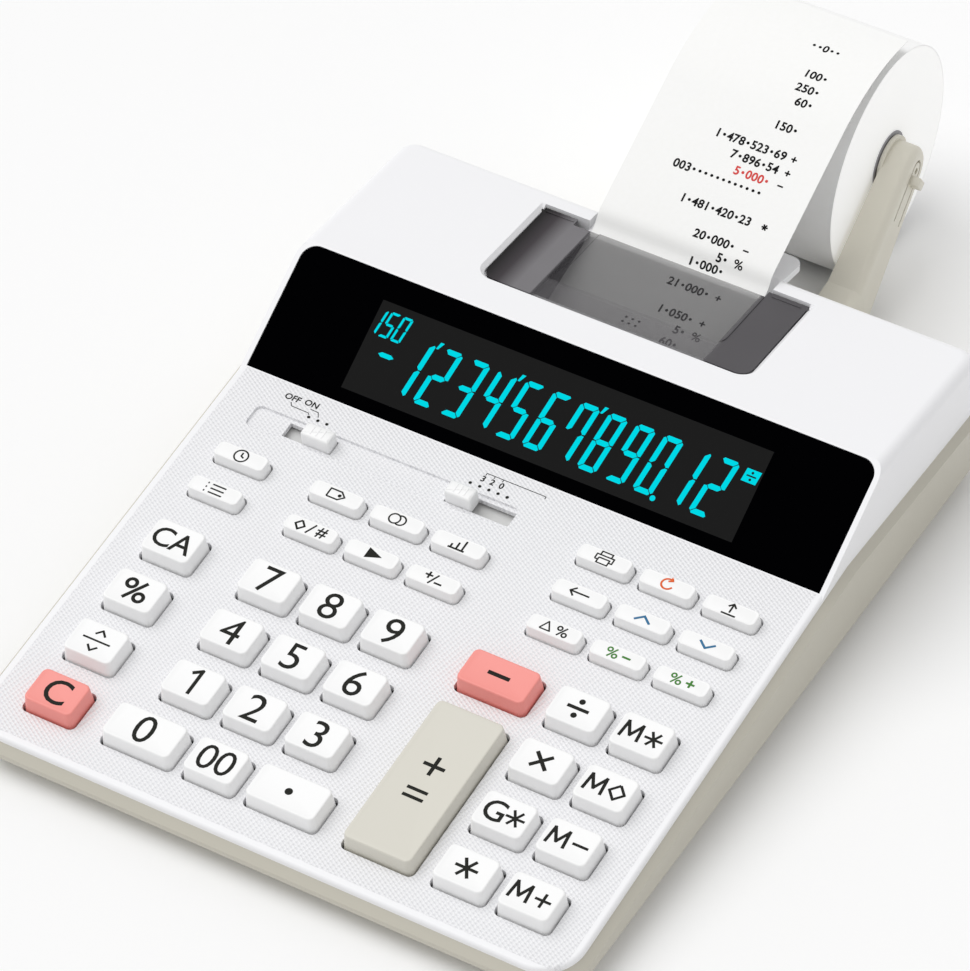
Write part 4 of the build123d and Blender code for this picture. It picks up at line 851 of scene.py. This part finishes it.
def litDigit(character, x, look):
    lit = {"0": "abcdef", "1": "bc", "2": "abged", "3": "abgcd", "4": "fgbc", "5": "afgcd", "6": "afgedc",
           "7": "fabc", "8": "abcdefg", "9": "abcdfg"}[character]
    outlines = barOutlines(look)
    made = joinAll([plate(outlines[name]) for name in lit])
    lean = Matrix(((1, look["lean"], 0, x), (0, 1, 0, look["low"]), (0, 0, 1, 0), (0, 0, 0, 1)))
    made.data.transform(lean)
    return made


def onWindow(piece, name, finish, lift):
    piece.data.transform(windowPlane @ Matrix.Translation((0, 0, lift * mm)) @ Matrix.Scale(mm, 4))
    give(piece, name, finish, "body")


def buildDisplay(look, small):
    area = box(look["area"][0], look["area"][1], 0.03)
    area.data.transform(Matrix.Translation((0, look["centre"], 0)))
    onWindow(area, "litArea", panelDark, -0.19)
    slip = look["lean"] * (look["high"] - look["low"])
    lit = []
    for n, character in enumerate("123456789012"):
        x = look["first"] + n * look["pitch"] - slip
        lit.append(litDigit(character, x, look))
        if n in (0, 3, 6):
            lit.append(plate([(x + slip + dx, look["high"] + dy) for dx, dy in
                              ((6.3, -1.3), (7.0, -1.3), (8.2, 0.9), (7.0, 0.9))]))
    lit.append(disc(0.85, 0.01, 20, look["first"] + 9 * look["pitch"] - slip + 7.0, look["low"] - 0.2))
    for n, character in enumerate("150"):
        lit.append(litDigit(character, small["first"] + n * small["pitch"], small))
    lit.append(plate([(-58.0, 17.6), (-57.0, 16.9), (-54.0, 16.9),
                      (-52.9, 17.6), (-54.0, 18.3), (-57.0, 18.3)]))
    onWindow(joinAll(lit), "litDigits", digitCyan, -0.12)
    tile = plate([(58.4, 21.9), (63.0, 21.9), (63.4, 25.9), (58.8, 25.9)])
    onWindow(tile, "litTile", digitCyan, -0.12)
    sign = joinAll([spokes(minus, 1.5, 0.45)]
                   + [disc(0.4 * mm, 0.02 * mm, 12, y=y * mm) for y in (1.05, -1.05)])
    sign.data.transform(Matrix.Translation((60.9, 23.9, 0)) @ Matrix.Scale(1 / mm, 4))
    onWindow(sign, "tileSign", panelDark, -0.09)


buildDisplay(displayLook, smallDigits)
print("display lit")

# ---- paper path, tape and print ----
def arc(radius, turn):
    return radius * math.radians(abs(turn)), turn


def paperRuns(look):
    # The tape's line as runs of (length, turn in degrees), from the roll through the platen to its free end.
    rise = look["exitHeight"] - look["platenHeight"]
    run = look["exitBack"] - look["platenBack"]
    toExit = math.hypot(run, rise)
    feedAngle = math.degrees(math.atan2(rise, run) + math.acos(look["platenRadius"] / toExit)) - 90
    webHeight = look["platenHeight"] - look["platenRadius"]
    rise = look["rollHeight"] - webHeight
    run = look["rollBack"] - look["turnBack"]
    toRoll = math.hypot(run, rise)
    fall = math.degrees(math.asin(look["rollClear"] / toRoll) - math.atan2(rise, run))
    web = math.sqrt(toRoll ** 2 - look["rollClear"] ** 2)
    cut = look["turnRadius"] * math.tan(math.radians(fall / 2))
    start = (look["turnBack"] + web * math.cos(math.radians(fall)),
             webHeight - web * math.sin(math.radians(fall)))
    runs = [(web - cut, 0), arc(look["turnRadius"], fall), (look["turnBack"] - look["platenBack"] - cut, 0),
            arc(look["platenRadius"], feedAngle - 180),
            (math.sqrt(toExit ** 2 - look["platenRadius"] ** 2), 0),
            arc(look["exitBend"], look["exitAngle"] - feedAngle),
            arc(look["leanRadius"], look["leanAngle"] - look["exitAngle"]), (look["leanRun"], 0),
            arc(look["drapeRadius"], -look["leanAngle"] - look["fall"])]
    return start, 180 - fall, runs


def paperPoint(distance, look):
    # Place and heading, in radians, on the tape's line at a distance from its start.
    (y, z), heading, runs = paperRuns(look)
    heading = math.radians(heading)
    for length, turn in runs:
        step = min(distance, length)
        if turn:
            radius = length / math.radians(turn)
            ahead = heading + step / radius
            y += radius * (math.sin(ahead) - math.sin(heading))
            z -= radius * (math.cos(ahead) - math.cos(heading))
            heading = ahead
        else:
            y += step * math.cos(heading)
            z += step * math.sin(heading)
        distance -= step
        if distance <= 0:
            break
    return y, z, heading


def bendWithHolder(piece):
    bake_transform(piece)


runLengths = [length for length, turn in paperRuns(paper)[2]]
beforeExit = sum(runLengths[:5])


def buildTape(look):
    deselectAll()
    bpy.ops.mesh.primitive_grid_add(x_subdivisions=6, y_subdivisions=190, size=1)
    tape = bpy.context.object
    for vertex in tape.data.vertices:
        y, z, heading = paperPoint((vertex.co.y + 0.5) * sum(runLengths), look)
        vertex.co = ((look["x"] + vertex.co.x * look["width"]) * mm, frontY + y * mm, z * mm)
    sheet = tape.modifiers.new("sheet", 'SOLIDIFY')
    sheet.thickness, sheet.offset = look["thickness"] * mm, 0
    makeCurrent(tape)
    bpy.ops.object.modifier_apply(modifier="sheet")
    setMode('EDIT')
    bpy.ops.mesh.select_all(action='SELECT')
    bpy.ops.mesh.normals_make_consistent()
    setMode('OBJECT')
    smooth(tape, 40)
    give(tape, "tape", tapePaper, None)
    bendWithHolder(tape)
    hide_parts("paper_tape")


def onTape(piece, past, across):
    # Lays a mark on the outside of the tape, past the tear edge by a distance in millimetres.
    for vertex in piece.data.vertices:
        y, z, heading = paperPoint(beforeExit + past + vertex.co.y / mm, paper)
        lift = paper["thickness"] / 2 + paper["printLift"] + vertex.co.z / mm
        vertex.co = ((paper["x"] + across) * mm + vertex.co.x, frontY + (y - math.sin(heading) * lift) * mm,
                     (z + math.cos(heading) * lift) * mm)


printStyle = dict(pitch=1.95, size=3.75, bold=0.0001, dot=0.00024, sign=0.9, star=0.98571, line=0.5)


def tapeSign(sign):
    if sign == "%":
        return percentMark(0.36, 0.4)
    turns = {"+": plus, "-": minus, "*": star}[sign]
    return spokes(turns, printStyle["star" if sign == "*" else "sign"], printStyle["line"])


def printLines(name, ink, *lines):
    # Each line: distance past the tear edge, right-hand end of the number, number, then a sign and its x.
    marks = []
    for past, right, number, *signs in lines:
        for n, character in enumerate(reversed(number)):
            bold = printStyle["dot" if character == "·" else "bold"]
            mark = words(character, printStyle["size"] * mm, bold)
            onTape(mark, past, right - (n + 0.5) * printStyle["pitch"])
            marks.append(mark)
        if signs:
            mark = tapeSign(signs[0])
            onTape(mark, past, signs[1])
            marks.append(mark)
    made = joinAll(marks)
    give(made, name, ink, None)
    bendWithHolder(made)


buildTape(paper)
printLines("tapePrint", inkBlack, (80.0, 15.1, "··0··"), (69.4, 16.5, "100·"), (64.2, 16.5, "250·"),
           (59.6, 16.6, "60·"), (50.8, 16.1, "150·"), (42.4, 16.3, "1·478·523·69", "+", 18.8),
           (37.8, 15.9, "7·896·54", "+", 18.9), (33.4, 15.1, "", "-", 18.6), (29.3, 14.6, "003" + 12 * "·"),
           (20.1, 15.6, "1·481·420·23", "*", 20.0), (11.4, 14.6, "20·000·", "-", 18.1),
           (6.9, 14.4, "5·", "%", 17.8), (3.2, 14.2, "1·000·"), (-5.1, 13.7, "21·000·", "+", 16.6),
           (-14.8, 13.6, "1·050·", "+", 16.6), (-19.6, 13.6, "5·", "%", 17.1), (-24.5, 13.6, "60·"))
printLines("tapePrintRed", inkRed, (33.4, 15.1, "5·000·"))
print("tape and print laid")

# ---- printer well, seen through the cover ----
wellLook = dict(half=41.7, front=198.3, rear=228.8, wall=0.6, height=9.5, foot=33.6, frontFoot=34.2,
                ledge=10.2, ledgeX=36.9, cheek=(0.6, 25.0, 5.6), cheekX=31.9, guide=(60.6, 26.0, 0.6),
                rib=(0.8, 24.0, 0.9), ribPitch=8.5, tilt=15.1)
coverLook = dict(dots=(3.6, 200.6), dot=(0.42, 0.05), dotPitch=2.1, dotRow=1.15, tabs=(-38.2, 37.1),
                 tabBack=232.3, tabRib=(9.4, 0.5, 0.25))


def buildWell(look):
    # A thin dark sheet in the opening, as painted shade of the well's inside, and a paper guide plate that
    # falls towards the platen.
    thin, depth, middle = look["wall"], look["rear"] - look["front"], (look["front"] + look["rear"]) / 2
    sides = (-1, 1)
    shadeSheets = [box(thin, depth, look["height"], side * look["half"], middle, look["foot"]) for side in sides]
    shadeSheets.append(box(2 * look["half"], thin, look["height"], 0, look["front"], look["frontFoot"]))
    shadeSheets += [box(look["ledge"], depth, thin, side * look["ledgeX"], middle, 33.4) for side in sides]
    guides = [box(*look["cheek"], side * look["cheekX"], 215.5, 28.0) for side in sides]
    tilted = [(box(*look["guide"]), 0, 216.4, 37.1)]
    tilted += [(box(*look["rib"]), (n - 3) * look["ribPitch"], 216.0, 37.5) for n in range(7)]
    for piece, x, back, up in tilted:
        piece.data.transform(Matrix.Translation((paper["x"] + x, back, up))
                             @ Matrix.Rotation(math.radians(look["tilt"]), 4, 'X'))
        guides.append(piece)
    for pieces, name, finish in ((shadeSheets, "paintedWellShade", paintedShadeDark), (guides, "paperGuide", guideGrey)):
        made = joinAll(pieces)
        made.data.transform(Matrix.Translation((0, frontY, 0)) @ Matrix.Scale(mm, 4))
        give(bevelled(made, 0.1 * mm, 1), name, finish, "body")


def onCover(piece, x, back, name, finish):
    piece.data.transform(topPlane @ Matrix.Translation((x * mm, onTop(back * mm), -1.0 * mm)))
    give(piece, name, finish, "cover")


def buildCoverDetail(look):
    # dark discs for the cover's six recessed dots: their dark is painted shade of the recesses
    dots = [disc(*metres(look["dot"]), 14, *metres((n * look["dotPitch"], row * look["dotRow"])))
            for row in (1, -1) for n in (-1, 0, 1)]
    onCover(joinAll(dots), *look["dots"], "coverDots", paintedShadeDark)
    for x, side in zip(look["tabs"], ("Left", "Right")):
        grip = bevelled(box(*metres(look["tabRib"])), 0.1 * mm)
        onCover(grip, x, look["tabBack"], "coverTabRib" + side, coverSmokeAndShade)


buildWell(wellLook)
buildCoverDetail(coverLook)
print("printer well lined")

# ---- small hardware ----
hardware = dict(
    screws=((-59.07, 71.72), (12.5, 79.67), (-87.0, 158.0), (87.0, 158.0), (-87.0, 231.5), (87.0, 231.5)),
    head=(2.7, 1.4), headFoot=2.6, footRing=4.1, footTube=0.22,
    feet=((-76.0, 20.0), (76.0, 20.0), (-76.0, 229.5), (76.0, 229.5)),
    inlet=62.0, inletHeight=15.0, rim=(3.7, 2.95, 0.5), rimBack=243.55, pin=(0.95, 6.0), pinBack=242.4)
doorLook = dict(middle=193.5, face=1.25, ridges=6, firstRidge=-84.0, ridgePitch=1.8, ridge=(0.8, 22.0, 0.3),
                arrow=-66.0, arrowSize=3.2)
armLook = dict(pivotX=46.3, pivot=(253.0, 11.9), pivotCap=(2.1, 0.5), tabX=39.3, tabSize=4.6, tabRun=-3.4,
               slope=35.5, coreX=28.92, core=(9.6, 7.6, 0.3))


def screwHead(radius, height):
    # Pan head with a cross slot, facing down.
    head = disc(radius, height, 28)
    setMode('EDIT')
    pick('edges', lambda e: edgeMiddle(e).z < 0.0001 and e.verts[0].co.xy.length > radius * 0.9)
    bevelEdges(0.6 * mm, 3)
    setMode('OBJECT')
    for turn in (20, 110):
        slit = box(radius * 1.15, 0.5 * mm, 0.8 * mm, z=-0.1 * mm)
        slit.data.transform(Matrix.Rotation(math.radians(turn), 4, 'Z'))
        cut = head.modifiers.new("slot", 'BOOLEAN')
        cut.operation, cut.object, cut.solver = 'DIFFERENCE', slit, 'EXACT'
        makeCurrent(head)
        bpy.ops.object.modifier_apply(modifier="slot")
        bpy.data.objects.remove(slit)
    return head


def spot(x, back, up, turn=0, axis='X'):
    # A place in millimetres: across, behind the case's front edge, above the table, then a turn in degrees.
    place = Matrix.Translation((x * mm, frontY + back * mm, up * mm))
    return place @ Matrix.Rotation(math.radians(turn), 4, axis)


def buildScrewsAndFeet(look):
    blank = screwHead(*metres(look["head"]))
    for n, (x, back) in enumerate(look["screws"]):
        screw = newObject("screw", blank.data.copy())
        screw.data.transform(spot(x, back, look["headFoot"]))
        smooth(screw)
        give(screw, "caseScrew%d" % n, steel, "body")
    bpy.data.objects.remove(blank)
    for n, (x, back) in enumerate(look["feet"]):
        deselectAll()
        bpy.ops.mesh.primitive_torus_add(major_radius=look["footRing"] * mm, major_segments=40,
                                         minor_radius=look["footTube"] * mm, minor_segments=8)
        torus = bpy.context.object
        torus.data.transform(spot(x, back, 0.24))
        smooth(torus, 60)
        give(torus, "footRing%d" % n, rubberBlack, "body")


def buildInlet(look):
    rim, pin = flatRing(*metres(look["rim"])), disc(*metres(look["pin"]), 20)
    for piece, back, edge, name, finish in ((rim, look["rimBack"], 0.12, "powerInletRim", rubberBlack),
                                            (pin, look["pinBack"], 0.3, "powerPin", brass)):
        piece.data.transform(spot(look["inlet"], back, look["inletHeight"], 90))
        give(bevelled(piece, edge * mm), name, finish, "body")


def buildDoorGrip(look):
    # Ridges for the thumb and a plain arrow on the battery door.
    marks = []
    for n in range(look["ridges"]):
        ridge = box(*metres(look["ridge"]))
        ridge.data.transform(spot(look["firstRidge"] + n * look["ridgePitch"], look["middle"], look["face"]))
        marks.append(ridge)
    arrow = triangle(look["arrowSize"])
    arrow.data.transform(spot(look["arrow"], look["middle"], look["face"] + 0.15, 180, 'Z')
                         @ Matrix.Scale(6, 4, (0, 0, 1)))
    give(bevelled(joinAll(marks + [arrow]), 0.1 * mm), "doorGrip", baseBeige, "door")


def buildArmDetail(look):
    # Pivot caps and thumb tabs on the arms, and the ends of the roll's core.
    roll = (paper["rollBack"], paper["rollHeight"])
    for side, word in ((-1, "Left"), (1, "Right")):
        pin = bevelled(disc(*metres(look["pivotCap"]), 28), 0.2 * mm)
        pin.data.transform(spot(paper["x"] + side * look["pivotX"], *look["pivot"], 90, 'Y'))
        give(pin, "pivotCap" + word, armBeige, "holder")
        size = look["tabSize"] * mm
        tab = bevelled(box(size, 3.0 * mm, size), 0.5 * mm, 3)
        tab.data.transform(spot(paper["x"] + side * look["tabX"], *roll, look["slope"])
                           @ Matrix.Translation((0, look["tabRun"] * mm, -size / 2)))
        give(tab, "thumbTab" + word, armBeige, "holder")
        core = flatRing(*metres(look["core"]), 64)
        core.data.transform(spot(paper["x"] + side * look["coreX"], *roll, 90, 'Y')
                            @ Matrix.Translation((0, 0, -0.15 * mm)))
        give(bevelled(core, 0.05 * mm, 1), "rollCore" + word, coreGrey, "roll")


buildScrewsAndFeet(hardware)
buildInlet(hardware)
buildDoorGrip(doorLook)
buildArmDetail(armLook)
print("hardware fitted")

# ---- a last update, with nothing selected ----
bpy.context.view_layer.update()
deselectAll()
print("finishing")
